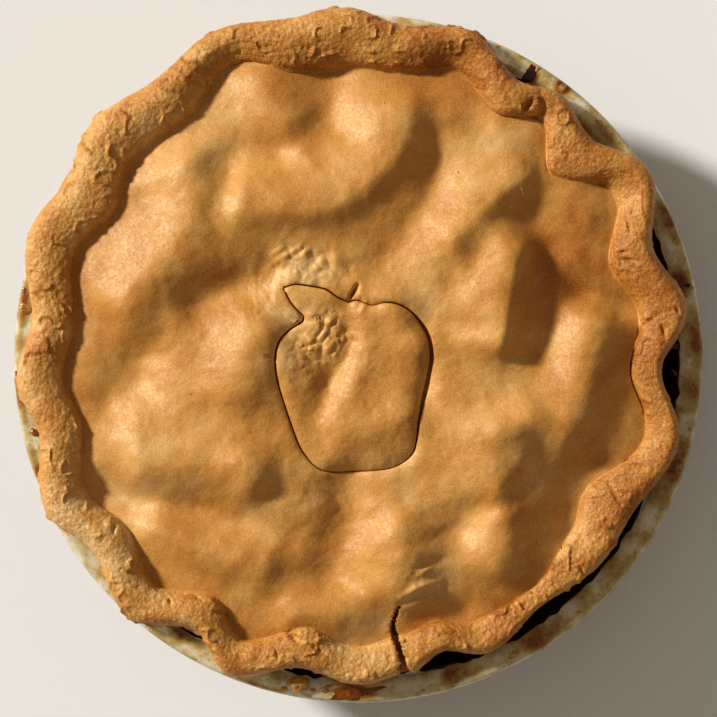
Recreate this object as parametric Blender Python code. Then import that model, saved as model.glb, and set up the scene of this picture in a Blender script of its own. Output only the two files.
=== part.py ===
"""A whole double-crust apple pie in its clear glass pie plate.

The top crust is draped over the apple slices and ends in a hand-fluted edge that leans on the
flange of the plate. An apple with a leaf is cut through the top crust and its pastry still lies
in the cut. Z is up, the plate stands on z = 0 and its middle is the origin.
"""

import bpy
import numpy as np

MM = 0.001

# Plate: clear pressed glass, sizes in mm
DISH_HEIGHT = 45.0
RIM_RADIUS = 127.0
WALL_TOP_RADIUS = 118.0
BASE_INNER_RADIUS = 95.0
BASE_GLASS = 4.5
WALL_GLASS = 4.6
BASE_ROUNDING = 9.0
FLANGE_GLASS = 4.2

# Pie
GAP = 0.35
FLANGE_REST = 0.35
DOME_RISE = 9.0
DOME_RADIUS = 109.0
EDGE_LEVEL = 4.8
CREST_SHARE = 0.65
CREST_LEAN = 0.09
LEAN_BEARING = 340.0
TUBE_POWER = 1.9
SLACK_POWER = 0.75
TUBE_FOOT = 104.0
SLACK_FOOT = 110.0
SLACK_BEARING = 55.0
FILLET = 0.25
LIP_LEVEL = 4.0
CRUST_THICKNESS = 5.0
CUT_GAP = 0.45
CUT_GAP_RIGHT = 1.4

# Fineness
DISH_SEGMENTS = 84
PIE_COLUMNS = 116

# Fluted edge, one row per bend: bearing in degrees, outer radius, radius of the inner foot
# and height of the crest above the flange, all in mm
FLUTES = [
    (9, 122.0, 103.7, 12.0), (20, 115.4, 97.9, 12.5), (33, 127.2, 111.0, 11.0),
    (44, 117.6, 97.1, 11.0), (52.5, 122.0, 109.2, 11.0), (60, 117.6, 103.0, 12.0),
    (71.5, 127.2, 111.0, 11.0), (82, 122.8, 105.5, 12.0), (93, 129.0, 106.0, 12.0),
    (101, 127.2, 106.5, 12.0), (113, 131.2, 116.5, 9.0), (126, 126.4, 107.8, 11.6),
    (138, 130.8, 110.0, 11.0), (149, 125.7, 104.1, 11.6), (159, 129.4, 110.0, 11.0),
    (173.5, 120.6, 104.5, 11.6), (184, 125.7, 107.8, 11.2), (193, 120.2, 104.1, 11.6),
    (206, 127.9, 111.0, 11.0), (216, 120.6, 104.8, 12.0), (228, 126.8, 111.0, 11.0),
    (239, 116.6, 101.5, 12.0), (247.5, 125.3, 110.7, 10.5), (260, 115.1, 99.7, 12.0),
    (270, 119.5, 105.5, 10.5), (279, 116.5, 102.3, 10.5), (286, 111.8, 100.1, 11.0),
    (294, 118.0, 105.2, 9.0), (306.5, 112.9, 105.5, 8.5), (321, 116.5, 100.4, 8.5),
    (329, 115.4, 96.0, 8.5), (345, 121.3, 108.5, 10.0), (358, 111.4, 99.3, 12.0),
]

# Apple slices that push the crust up: crest line, height, fall-off to the left and to the
# right of the line as it is walked, in mm
SLICES = [
    ([(-87.5, 19.5), (-79.5, 28.5), (-70.5, 39.5), (-61, 49.5), (-60.5, 59.5), (-65, 70)],
     5.5, 12.5, 14.5),
    ([(-41.5, 55.5), (-27, 54.5), (-12, 55.5), (-2, 61.5), (7.5, 70), (15.5, 80), (17, 91.5)],
     5.5, 16.5, 8.5),
    ([(-36.5, 104), (-33, 95.5), (-27, 87.5)], 3.5, 9.5, 10),
    ([(35, 45), (43.5, 53), (51.5, 61), (59.5, 66.5)], 5.0, 13, 7.5),
    ([(59.5, 41), (55.5, 31.5), (53, 19.5), (49.5, 5)], 7.0, 6.5, 15),
    ([(89.5, 12), (84.5, -1.5), (81, -15), (74, -28)], 5.5, 10, 13),
    ([(61.5, -19.5), (55, -26)], 2.5, 10, 10),
    ([(48.5, -26), (47.5, -37), (48.5, -47.5)], 5.0, 8.5, 14),
    ([(53, -57), (55, -67.5), (51.5, -77.5)], 5.5, 10, 13),
    ([(12, -64), (18, -72.5), (13, -84)], 5.0, 13, 13),
    ([(-23, -94), (-7, -93)], 3.5, 7.5, 7.5),
    ([(-79.5, -37.5), (-63, -37.5), (-48.5, -37), (-37.5, -43.5)], 4.5, 11, 9.5),
    ([(-43, -37.5), (-35, -45)], 2.0, 7.5, 9.5),
    ([(-83.5, -24), (-86, -31.5)], 2.0, 8.5, 8.5),
    ([(-34, 9), (-43, 0), (-46, -13)], 4.0, 16, 12.5),
    ([(17, -19.5), (6, -26), (-6, -26)], 2.8, 8.5, 11),
    ([(10.5, 21), (18.5, 12), (21.5, 5)], 2.2, 6.5, 6.5),
    ([(-76, -60.5), (-57.5, -69), (-34, -75)], 3.5, 8.5, 8.5),
    ([(26, 35), (31.5, 41)], 2.0, 8.5, 8.5),
    ([(51.5, 83), (62, 79.5)], 1.5, 8.5, 8.5),
    ([(78.5, 68.5), (86, 52)], 1.5, 7.5, 7.5),
    ([(61, -24), (58.5, -36)], 2.0, 6, 7),
    ([(57, -40), (55, -48)], 1.5, 6, 7),
    ([(33, 88), (31, 78)], 1.2, 6, 6),
    ([(17, 56), (12, 52)], 1.0, 6, 6),
    ([(2, -88), (1, -97)], 1.5, 6, 6),
    ([(-41, 2), (-43, -10)], 1.2, 7, 7),
]

# Places where the crust sank between slices, in the same form
HOLLOWS = [
    ([(-59.5, 19.5), (-45, 26), (-33, 33)], 4.0, 8, 8),
    ([(-8.5, 104.5), (-10.5, 94), (-8.5, 85)], 2.5, 8.5, 8.5),
    ([(-48.5, 68.5), (-41.5, 74), (-30.5, 76.5)], 3.0, 8, 8),
    ([(29.5, 81), (29.5, 66.5), (26.5, 55.5)], 2.5, 7.5, 7.5),
    ([(18, 52), (12, 41), (7, 31.5)], 2.0, 8, 8),
    ([(65, 52), (68.5, 41)], 2.0, 6.5, 6.5),
    ([(77.5, 25), (71.5, 14), (66.5, 0)], 2.2, 7.5, 7.5),
    ([(84, 23), (96.5, 18.5)], 1.5, 5, 5),
    ([(85, -38), (80.5, -48), (75, -63)], 4.5, 9, 8.5),
    ([(22, 12), (35, 11), (47, 10)], 1.8, 7, 7),
    ([(-79, -10), (-77, -14)], 1.2, 6, 6),
    ([(-4, 18), (-4, 6), (-10, -8)], 1.2, 4, 4),
    ([(58, 72), (52, 78)], 1.0, 7, 7),
    ([(-34, -64), (-25, -67)], 2.0, 8, 7),
    ([(43.5, -53), (37.5, -64)], 2.0, 7.5, 7.5),
    ([(-4.5, -45), (-3, -53), (-7.5, -66), (-10.5, -79.5)], 4.5, 9.5, 11),
    ([(-95.5, -47.5), (-77.5, -52.5), (-59.5, -54.5), (-41.5, -59.5)], 3.5, 6.5, 7.5),
    ([(-76, 3), (-83, -6), (-91, -17)], 3.5, 9.5, 8.5),
    ([(-12, -4), (-11, -13)], 1.5, 6, 6),
    ([(26, -4), (25, -15)], 1.5, 4.5, 4.5),
    ([(24, -95), (38.5, -93)], 2.0, 5, 5),
    ([(13, -40.5), (22.5, -53), (33, -64)], 1.2, 8, 8),
]
BLOB_REACH = 5.8

# Outline of the cut-out apple, walked clockwise from the tip of its leaf, in mm
LEAF_TOP = [(-27.3, 25.8), (-23.1, 27.0), (-17.7, 26.4), (-11.9, 25.2), (-7.5, 22.3), (-3.6, 20.5)]
APPLE_ROUND = [
    (-3.6, 20.5), (-0.6, 21.2), (4.8, 19.4), (9.5, 20.4), (13.9, 19.9), (18.6, 17.6),
    (22.3, 13.6), (25.3, 8.5), (26.6, 2.4), (26.1, -4.2), (22.3, -21.2), (21.3, -28.9),
    (20.1, -33.9), (17.2, -37.2), (12.8, -39.7), (7.0, -40.8), (-3.2, -41.4), (-11.1, -41.4),
    (-15.3, -39.7), (-18.8, -36.1), (-22.4, -29.9), (-28.2, -12.9), (-30.0, -5.3),
    (-30.2, 1.6), (-28.6, 6.7), (-25.3, 10.3), (-20.4, 13.4),
]
LEAF_UNDER = [(-20.4, 13.4), (-20.1, 15.4), (-22.4, 17.7), (-25.1, 21.1), (-27.3, 25.8)]
APPLE_MIDDLE = (4.0, -6.0)

# Crack through the fluted edge: its line and its half width along that line, in mm
CRACK = [(14.6, -91.0, 0.2), (12.6, -98.0, 0.7), (13.9, -103.0, 1.4), (15.6, -109.5, 1.4),
         (16.8, -116.0, 1.9)]
CRACK_DEPTH = 8.0
CRACK_BEARING = 277.8


def curve(points, count):
    """Points evenly spaced along a smooth curve through the given ones."""
    p = np.array(points, float)
    ends = np.vstack([2 * p[0] - p[1], p, 2 * p[-1] - p[-2]])
    t = np.linspace(0.0, 1.0, 16, endpoint=False)[:, None]
    parts = []
    for i in range(len(p) - 1):
        a, b, c, d = ends[i:i + 4]
        parts.append(0.5 * (2 * b + (c - a) * t + (2 * a - 5 * b + 4 * c - d) * t ** 2
                            + (3 * b - a - 3 * c + d) * t ** 3))
    line = np.vstack(parts + [p[-1:]])
    steps = np.hypot(*np.diff(line, axis=0)[:, :2].T)
    length = np.concatenate([[0.0], np.cumsum(steps)])
    if count is None:
        count = max(2, int(round(length[-1] / (0.6 * BLOB_REACH))) + 1)
    at = np.linspace(0.0, length[-1], count)
    return np.stack([np.interp(at, length, line[:, k]) for k in range(p.shape[1])], axis=1)


def around(bearing, column):
    """Value of one column of FLUTES at any bearing, eased from bend to bend."""
    table = np.array(FLUTES, float)
    keys = np.concatenate([[table[-1, 0] - 360], table[:, 0], [table[0, 0] + 360]])
    values = np.concatenate([[table[-1, column]], table[:, column], [table[0, column]]])
    a = np.mod(bearing, 360.0)
    i = np.clip(np.searchsorted(keys, a, side="right") - 1, 0, len(keys) - 2)
    t = (a - keys[i]) / (keys[i + 1] - keys[i])
    ease = 0.5 - 0.5 * np.cos(np.pi * t)
    return values[i] * (1 - ease) + values[i + 1] * ease


def swell(x, y, bump):
    """Height that one slice adds: a soft ridge along its crest line."""
    points, height, left, right = bump
    crest = curve(points, None)
    along = np.gradient(crest, axis=0)
    along /= np.linalg.norm(along, axis=1)[:, None]
    total = np.zeros_like(x)
    for (cx, cy), (ux, uy) in zip(crest, along):
        forward = (x - cx) * ux + (y - cy) * uy
        aside = (y - cy) * ux - (x - cx) * uy
        width = np.where(aside > 0, left, right)
        total += np.exp(-3.0 * ((forward / BLOB_REACH) ** 2 + (aside / width) ** 2))
    return height * np.cbrt(total / 1.15)


def dome_level(x, y):
    """Height above the flange of the smooth dome that the bumps sit on."""
    r = np.hypot(x, y)
    return EDGE_LEVEL + DOME_RISE * (1 - np.clip(r / DOME_RADIUS, 0, 1.1) ** 3)


def top_level(x, y):
    """Height of the draped top crust above the plate's flange."""
    z = dome_level(x, y)
    sx = x + 0.9 * np.sin(x / 14.9 + 1.3) * np.cos(y / 19.2 + 0.4) + 0.5 * np.sin((x - y) / 8.3)
    sy = y + 0.9 * np.cos(x / 17.1 + 0.2) * np.sin(y / 14.2 + 2.0) + 0.5 * np.cos((x + y) / 9.8)
    for bump in SLICES:
        z = z + swell(sx, sy, bump)
    for bump in HOLLOWS:
        z = z - swell(sx, sy, bump)
    return z


def crack_drop(x, y):
    """How far the crack lowers the crust."""
    line = curve(CRACK, 24)
    away = np.hypot(x[..., None] - line[:, 0], y[..., None] - line[:, 1])
    share = np.min(away / line[:, 2], axis=-1)
    return CRACK_DEPTH * np.exp(-share ** 4)


def apple_outline(count):
    """Closed outline of the apple as count even steps, with unit normals that point outward."""
    pieces = [curve(LEAF_TOP, 200), curve(APPLE_ROUND, 1600), curve(LEAF_UNDER, 120)]
    line = np.vstack([p[:-1] for p in pieces])
    step = np.roll(line, -1, axis=0) - line
    length = np.concatenate([[0.0], np.cumsum(np.hypot(step[:, 0], step[:, 1]))])
    closed = np.vstack([line, line[:1]])
    at = np.linspace(0.0, length[-1], count, endpoint=False)
    p = np.stack([np.interp(at, length, closed[:, 0]), np.interp(at, length, closed[:, 1])], 1)
    tangent = np.roll(p, -1, axis=0) - np.roll(p, 1, axis=0)
    tangent /= np.linalg.norm(tangent, axis=1)[:, None]
    normal = np.stack([-tangent[:, 1], tangent[:, 0]], axis=1)
    return p, normal


def columns(count):
    """Bearings of the pie's columns with the outline point and normal each one starts from."""
    fine = 2400
    p, normal = apple_outline(fine)
    angle = np.unwrap(np.arctan2(p[:, 1] - APPLE_MIDDLE[1], p[:, 0] - APPLE_MIDDLE[0]))
    even = angle[0] - np.linspace(0.0, 2 * np.pi, fine, endpoint=False)
    drift = angle - even
    window = 121
    padded = np.concatenate([drift[-window:], drift, drift[:window]])
    soft = np.convolve(padded, np.ones(window) / window, mode="same")[window:-window]
    bearing = np.degrees(even + 0.45 * soft)
    bearing = np.minimum.accumulate(bearing)
    start = bearing[0]
    wanted = np.arange(count) * 360.0 / count
    near = np.abs(np.mod(wanted - CRACK_BEARING + 180.0, 360.0) - 180.0)
    wanted = wanted[near > 2.2]
    crack = CRACK_BEARING + np.array([-1.6, -0.85, -0.4, 0.0, 0.4, 0.85, 1.6])
    wanted = np.sort(np.mod(np.concatenate([wanted, crack]), 360.0))
    below = start - np.mod(start - wanted, 360.0)
    index = np.interp(-below, -np.concatenate([bearing, [start - 360.0]]), np.arange(fine + 1))
    whole = np.round(index).astype(int) % fine
    return wanted, p[whole], normal[whole]


def wall_radius(z):
    """Inner radius of the glass at height z above the table."""
    top = DISH_HEIGHT - 1.6
    low = BASE_GLASS + BASE_ROUNDING * 0.35
    t = (z - low) / (top - low)
    return BASE_INNER_RADIUS + 2.6 + (WALL_TOP_RADIUS - BASE_INNER_RADIUS - 2.6) * t


def ring(bearing, radius, level):
    """One closed row of points around the pie."""
    a = np.radians(bearing)
    radius = np.broadcast_to(radius, a.shape)
    level = np.broadcast_to(level, a.shape)
    return np.stack([radius * np.cos(a), radius * np.sin(a), level], axis=1)


def loft(name, rows, first, last, material):
    """A closed body from rows of equal length, shut at both ends by a point."""
    count = len(rows[0])
    points = np.vstack([[first]] + rows + [[last]])
    top = len(points) - 1
    i = np.arange(count)
    j = (i + 1) % count
    faces = [(0, 1 + b, 1 + a) for a, b in zip(i, j)]
    for k in range(len(rows) - 1):
        low = 1 + k * count
        high = low + count
        faces += [(low + a, low + b, high + b, high + a) for a, b in zip(i, j)]
    end = 1 + (len(rows) - 1) * count
    faces += [(top, end + a, end + b) for a, b in zip(i, j)]
    mesh = bpy.data.meshes.new(name)
    mesh.from_pydata((points * MM).tolist(), [], [tuple(int(v) for v in f) for f in faces])
    mesh.validate()
    mesh.polygons.foreach_set("use_smooth", np.ones(len(mesh.polygons), bool))
    mesh.set_sharp_from_angle(angle=np.radians(50.0))
    mesh.materials.append(material)
    body = bpy.data.objects.new(name, mesh)
    bpy.context.scene.collection.objects.link(body)
    return body


def principled(name, colour, roughness, transmission=0.0):
    """A plain material of one colour, given as linear values."""
    material = bpy.data.materials.new(name)
    material.use_nodes = True
    shader = material.node_tree.nodes["Principled BSDF"]
    shader.inputs["Base Color"].default_value = (*colour, 1.0)
    shader.inputs["Roughness"].default_value = roughness
    shader.inputs["Transmission Weight"].default_value = transmission
    shader.inputs["IOR"].default_value = 1.5
    return material


def make_dish():
    """Turned glass plate: flat base, slanting wall and a flange with a rounded bead."""
    h = DISH_HEIGHT
    out = wall_radius(h - FLANGE_GLASS) + WALL_GLASS
    foot = wall_radius(BASE_GLASS) - 1.0
    profile = [
        (foot - 4.0, 0.0), (foot - 0.8, 0.9), (foot + 1.6, 3.4),
        (out, h - FLANGE_GLASS - 1.2), (out + 1.4, h - FLANGE_GLASS),
        (RIM_RADIUS - 1.6, h - FLANGE_GLASS), (RIM_RADIUS - 0.2, h - 3.2),
        (RIM_RADIUS, h - 1.7), (RIM_RADIUS - 0.7, h - 0.3), (RIM_RADIUS - 1.8, h),
        (RIM_RADIUS - 3.2, h - 0.25), (WALL_TOP_RADIUS + 2.6, h - 0.2),
        (WALL_TOP_RADIUS + 1.0, h - 0.55), (WALL_TOP_RADIUS, h - 1.6),
        (wall_radius(BASE_GLASS + 4.0), BASE_GLASS + 4.0),
        (wall_radius(BASE_GLASS) - 0.9, BASE_GLASS + 1.5),
        (wall_radius(BASE_GLASS) - 4.2, BASE_GLASS + 0.1),
        (BASE_INNER_RADIUS - 7.0, BASE_GLASS),
    ]
    bearing = np.arange(DISH_SEGMENTS) * 360.0 / DISH_SEGMENTS
    rows = [ring(bearing, r, z) for r, z in profile]
    glass = principled("clear_glass", (0.78, 0.82, 0.76), 0.05, 1.0)
    first = np.array([0.0, 0.0, 0.0])
    last = np.array([0.0, 0.0, BASE_GLASS])
    return loft("pie_dish", rows, first, last, glass)


def crest_share(bearing):
    """Where the crest stands across the edge: nearer the lip at the lower right."""
    return CREST_SHARE + CREST_LEAN * np.cos(np.radians(bearing - LEAN_BEARING))


def roundness(bearing, foot):
    """Power of the superellipse on the edge's inner side: a round tube, but slack where the
    edge draws back on the upper right."""
    back = np.clip((foot - TUBE_FOOT) / (SLACK_FOOT - TUBE_FOOT), 0, 1)
    side = np.clip(2.0 * np.cos(np.radians(bearing - SLACK_BEARING)), 0, 1)
    return TUBE_POWER - SLACK_POWER * back * side


def make_crust():
    """The pie itself: bottom crust, filling and top crust as one solid piece."""
    h = DISH_HEIGHT
    bearing, start, normal = columns(PIE_COLUMNS)
    gap = 0.5 * cut_gap(start)[:, None]
    cut = start + normal * gap
    outer = around(bearing, 1)
    foot = around(bearing, 2)
    crest = around(bearing, 3)

    def surface(xy):
        x, y = xy[:, 0], xy[:, 1]
        return np.column_stack([x, y, h + top_level(x, y) - crack_drop(x, y)])

    middle = np.array(APPLE_MIDDLE)
    rows = [np.column_stack([cut, under_apple(start) - GAP])]
    rows.append(surface(cut))
    a = np.radians(bearing)
    rim = np.stack([foot * np.cos(a), foot * np.sin(a)], axis=1)
    for t in np.linspace(0.0, 1.0, 14)[1:]:
        rows.append(surface(cut + (rim - cut) * t))
    inner_level = rows[-1][:, 2] - h
    high = crest_share(bearing)
    power = roundness(bearing, foot)
    for t in (0.08, 0.25, 0.55, 1.0):
        eased = t * min(t / FILLET, 1.0) ** 2 * (3 - 2 * min(t / FILLET, 1.0))
        rise = (1 - (1 - eased) ** power) ** (1 / power)
        level = inner_level * (1 - rise) + crest * rise
        rows.append(ring(bearing, foot + (outer - foot) * high * t, h + level))
    for t in (0.34, 0.62, 0.85, 1.0):
        level = LIP_LEVEL + (crest - LIP_LEVEL) * np.sqrt(1 - t ** 2.4)
        rows.append(ring(bearing, foot + (outer - foot) * (high + (1 - high) * t), h + level))
    for row in rows[-8:]:
        row[:, 2] -= crack_drop(row[:, 0], row[:, 1])
    drop = np.minimum(crack_drop(rows[-1][:, 0], rows[-1][:, 1]), LIP_LEVEL - 1.2)
    rows[-1][:, 2] = h + LIP_LEVEL - drop
    rows.append(ring(bearing, outer - 0.9, h + 0.9))
    rows.append(ring(bearing, outer - 2.4, h + FLANGE_REST))
    rows.append(ring(bearing, np.minimum(WALL_TOP_RADIUS + 0.6, outer - 2.9), h + FLANGE_REST))
    rows.append(ring(bearing, np.minimum(wall_radius(h - 2.6) - GAP, outer - 3.1), h - 2.6))
    rows.append(ring(bearing, np.minimum(wall_radius(h - 9.0) - GAP, outer - 3.6), h - 9.0))
    for z in (h - 17.0, BASE_GLASS + 4.3):
        rows.append(ring(bearing, wall_radius(z) - GAP - 0.15, z))
    rows.append(ring(bearing, wall_radius(BASE_GLASS) - 4.6, BASE_GLASS + GAP + 0.2))
    rows.append(ring(bearing, 55.0, BASE_GLASS + GAP))
    first = np.array([*middle, under_apple(middle[None])[0] - GAP])
    last = np.array([0.0, 0.0, BASE_GLASS + GAP])
    pastry = principled("baked_pastry", (0.50, 0.21, 0.05), 0.6)
    return loft("pie_crust", rows[::-1], last, first, pastry)


def under_apple(start):
    """Height of the pastry apple's underside along its outline."""
    return DISH_HEIGHT + dome_level(start[:, 0], start[:, 1]) - CRUST_THICKNESS


def cut_gap(points):
    """Width of the cut: a hair, and wider along the right side of the apple."""
    right = np.clip((points[:, 0] - 19.0) / 5.0, 0, 1) * np.clip((points[:, 1] + 26.0) / 12.0, 0, 1)
    return CUT_GAP + (CUT_GAP_RIGHT - CUT_GAP) * right


def make_apple():
    """The pastry apple and its leaf that lie in the cut, as thick as the crust."""
    h = DISH_HEIGHT
    _, start, normal = columns(PIE_COLUMNS)
    edge = start - normal * 0.5 * cut_gap(start)[:, None]
    middle = np.array(APPLE_MIDDLE)

    under = under_apple(start)

    def at(share, inset, sink):
        xy = middle + (edge - normal * inset - middle) * share
        z = h + top_level(xy[:, 0], xy[:, 1]) - sink
        return np.column_stack([xy, z])

    rows = [np.column_stack([edge - normal * 0.25, under]), np.column_stack([edge, under + 0.7]),
            at(1.0, 0.0, 0.5), at(1.0, 0.3, 0.0), at(0.85, 0.0, 0.0), at(0.66, 0.0, 0.0),
            at(0.46, 0.0, 0.0), at(0.24, 0.0, 0.0)]
    low = np.array([*middle, under_apple(middle[None])[0]])
    high = np.array([*middle, h + float(top_level(middle[:1], middle[1:])[0])])
    pastry = principled("baked_pastry_cutout", (0.52, 0.23, 0.06), 0.6)
    return loft("apple_cutout", rows, low, high, pastry)


for old in list(bpy.data.objects):
    bpy.data.objects.remove(old, do_unlink=True)

make_dish()
make_crust()
make_apple()
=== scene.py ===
"""Looks of a whole apple pie in its clear glass plate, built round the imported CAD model."""

import math

import bpy
import numpy as np
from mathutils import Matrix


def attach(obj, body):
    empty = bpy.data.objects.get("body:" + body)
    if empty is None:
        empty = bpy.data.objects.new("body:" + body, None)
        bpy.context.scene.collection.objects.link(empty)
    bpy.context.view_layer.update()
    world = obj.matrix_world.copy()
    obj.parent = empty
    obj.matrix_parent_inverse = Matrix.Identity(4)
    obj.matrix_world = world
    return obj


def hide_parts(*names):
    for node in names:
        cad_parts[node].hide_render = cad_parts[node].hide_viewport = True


bl_info = {
    "name": "Apple Pie in a Glass Plate",
    "version": (1, 0, 0),
    "blender": (4, 5, 0),
    "location": "3D View > Sidebar > Pie",
    "description": "Draped and fluted crust, its cut-out apple and the plate it was baked in",
    "category": "Add Mesh",
}

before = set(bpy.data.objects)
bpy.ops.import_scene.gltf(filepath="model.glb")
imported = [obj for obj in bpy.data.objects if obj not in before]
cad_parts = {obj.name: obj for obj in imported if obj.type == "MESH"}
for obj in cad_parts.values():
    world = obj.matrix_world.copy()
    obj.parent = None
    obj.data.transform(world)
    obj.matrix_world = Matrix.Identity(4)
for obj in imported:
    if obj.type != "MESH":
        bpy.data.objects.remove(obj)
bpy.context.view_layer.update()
BODY = "root"
MM = 0.001

# ---------------------------------------------------------------- shape of the pie, in mm

DISH_HEIGHT = 45.0
RIM_RADIUS = 127.0
WALL_TOP_RADIUS = 118.0
BASE_INNER_RADIUS = 95.0
BASE_GLASS = 4.5
WALL_GLASS = 4.6
BASE_ROUNDING = 9.0
FLANGE_GLASS = 4.2
WALL_TOP_DROP = 1.6
WALL_FOOT_STEP = 2.6

GAP = 0.35
FLANGE_REST = 0.35
DOME_RISE = 9.0
DOME_RADIUS = 109.0
EDGE_LEVEL = 4.8
CREST_SHARE = 0.65
CREST_LEAN = 0.09
LEAN_BEARING = 340.0
TUBE_POWER = 1.9
SLACK_POWER = 0.75
TUBE_FOOT = 104.0
SLACK_FOOT = 110.0
SLACK_BEARING = 55.0
LIP_LEVEL = 4.0
LIP_POWER = 2.4
FILLET = 0.25
PALE_BEARING = 205.0
SMOOTH_SIDE = 0.55
EDGE_START = 0.03
INNER_ROWS = 30
CRUST_THICKNESS = 5.0
CUT_GAP = 0.45
CUT_GAP_RIGHT = 1.4

# one row per bend of the edge: bearing, outer radius, inner foot radius, crest above the flange
FLUTES = [
    (9, 122.0, 103.7, 12.0), (20, 115.4, 97.9, 12.5), (33, 127.2, 111.0, 11.0),
    (44, 117.6, 97.1, 11.0), (52.5, 122.0, 109.2, 11.0), (60, 117.6, 103.0, 12.0),
    (71.5, 127.2, 111.0, 11.0), (82, 122.8, 105.5, 12.0), (93, 129.0, 106.0, 12.0),
    (101, 127.2, 106.5, 12.0), (113, 131.2, 116.5, 9.0), (126, 126.4, 107.8, 11.6),
    (138, 130.8, 110.0, 11.0), (149, 125.7, 104.1, 11.6), (159, 129.4, 110.0, 11.0),
    (173.5, 120.6, 104.5, 11.6), (184, 125.7, 107.8, 11.2), (193, 120.2, 104.1, 11.6),
    (206, 127.9, 111.0, 11.0), (216, 120.6, 104.8, 12.0), (228, 126.8, 111.0, 11.0),
    (239, 116.6, 101.5, 12.0), (247.5, 125.3, 110.7, 10.5), (260, 115.1, 99.7, 12.0),
    (270, 119.5, 105.5, 10.5), (279, 116.5, 102.3, 10.5), (286, 111.8, 100.1, 11.0),
    (294, 118.0, 105.2, 9.0), (306.5, 112.9, 105.5, 8.5), (321, 116.5, 100.4, 8.5),
    (329, 115.4, 96.0, 8.5), (345, 121.3, 108.5, 10.0), (358, 111.4, 99.3, 12.0),
]

# apple slices under the crust: crest line, height, fall-off left and right of the walk
SLICES = [
    ([(-87.5, 19.5), (-79.5, 28.5), (-70.5, 39.5), (-61, 49.5), (-60.5, 59.5), (-65, 70)],
     5.5, 12.5, 14.5),
    ([(-41.5, 55.5), (-27, 54.5), (-12, 55.5), (-2, 61.5), (7.5, 70), (15.5, 80), (17, 91.5)],
     5.5, 16.5, 8.5),
    ([(-36.5, 104), (-33, 95.5), (-27, 87.5)], 3.5, 9.5, 10),
    ([(35, 45), (43.5, 53), (51.5, 61), (59.5, 66.5)], 5.0, 13, 7.5),
    ([(59.5, 41), (55.5, 31.5), (53, 19.5), (49.5, 5)], 7.0, 6.5, 15),
    ([(89.5, 12), (84.5, -1.5), (81, -15), (74, -28)], 5.5, 10, 13),
    ([(61.5, -19.5), (55, -26)], 2.5, 10, 10),
    ([(48.5, -26), (47.5, -37), (48.5, -47.5)], 5.0, 8.5, 14),
    ([(53, -57), (55, -67.5), (51.5, -77.5)], 5.5, 10, 13),
    ([(12, -64), (18, -72.5), (13, -84)], 5.0, 13, 13),
    ([(-23, -94), (-7, -93)], 3.5, 7.5, 7.5),
    ([(-79.5, -37.5), (-63, -37.5), (-48.5, -37), (-37.5, -43.5)], 4.5, 11, 9.5),
    ([(-43, -37.5), (-35, -45)], 2.0, 7.5, 9.5),
    ([(-83.5, -24), (-86, -31.5)], 2.0, 8.5, 8.5),
    ([(-34, 9), (-43, 0), (-46, -13)], 4.0, 16, 12.5),
    ([(17, -19.5), (6, -26), (-6, -26)], 2.8, 8.5, 11),
    ([(10.5, 21), (18.5, 12), (21.5, 5)], 2.2, 6.5, 6.5),
    ([(-76, -60.5), (-57.5, -69), (-34, -75)], 3.5, 8.5, 8.5),
    ([(26, 35), (31.5, 41)], 2.0, 8.5, 8.5),
    ([(51.5, 83), (62, 79.5)], 1.5, 8.5, 8.5),
    ([(78.5, 68.5), (86, 52)], 1.5, 7.5, 7.5),
    ([(61, -24), (58.5, -36)], 2.0, 6, 7),
    ([(57, -40), (55, -48)], 1.5, 6, 7),
    ([(33, 88), (31, 78)], 1.2, 6, 6),
    ([(17, 56), (12, 52)], 1.0, 6, 6),
    ([(2, -88), (1, -97)], 1.5, 6, 6),
    ([(-41, 2), (-43, -10)], 1.2, 7, 7),
]
HOLLOWS = [
    ([(-59.5, 19.5), (-45, 26), (-33, 33)], 4.0, 8, 8),
    ([(-8.5, 104.5), (-10.5, 94), (-8.5, 85)], 2.5, 8.5, 8.5),
    ([(-48.5, 68.5), (-41.5, 74), (-30.5, 76.5)], 3.0, 8, 8),
    ([(29.5, 81), (29.5, 66.5), (26.5, 55.5)], 2.5, 7.5, 7.5),
    ([(18, 52), (12, 41), (7, 31.5)], 2.0, 8, 8),
    ([(65, 52), (68.5, 41)], 2.0, 6.5, 6.5),
    ([(77.5, 25), (71.5, 14), (66.5, 0)], 2.2, 7.5, 7.5),
    ([(84, 23), (96.5, 18.5)], 1.5, 5, 5),
    ([(85, -38), (80.5, -48), (75, -63)], 4.5, 9, 8.5),
    ([(22, 12), (35, 11), (47, 10)], 1.8, 7, 7),
    ([(-79, -10), (-77, -14)], 1.2, 6, 6),
    ([(-4, 18), (-4, 6), (-10, -8)], 1.2, 4, 4),
    ([(58, 72), (52, 78)], 1.0, 7, 7),
    ([(-34, -64), (-25, -67)], 2.0, 8, 7),
    ([(43.5, -53), (37.5, -64)], 2.0, 7.5, 7.5),
    ([(-4.5, -45), (-3, -53), (-7.5, -66), (-10.5, -79.5)], 4.5, 9.5, 11),
    ([(-95.5, -47.5), (-77.5, -52.5), (-59.5, -54.5), (-41.5, -59.5)], 3.5, 6.5, 7.5),
    ([(-76, 3), (-83, -6), (-91, -17)], 3.5, 9.5, 8.5),
    ([(-12, -4), (-11, -13)], 1.5, 6, 6),
    ([(26, -4), (25, -15)], 1.5, 4.5, 4.5),
    ([(24, -95), (38.5, -93)], 2.0, 5, 5),
    ([(13, -40.5), (22.5, -53), (33, -64)], 1.2, 8, 8),
]
BLOB_REACH = 5.8

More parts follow.
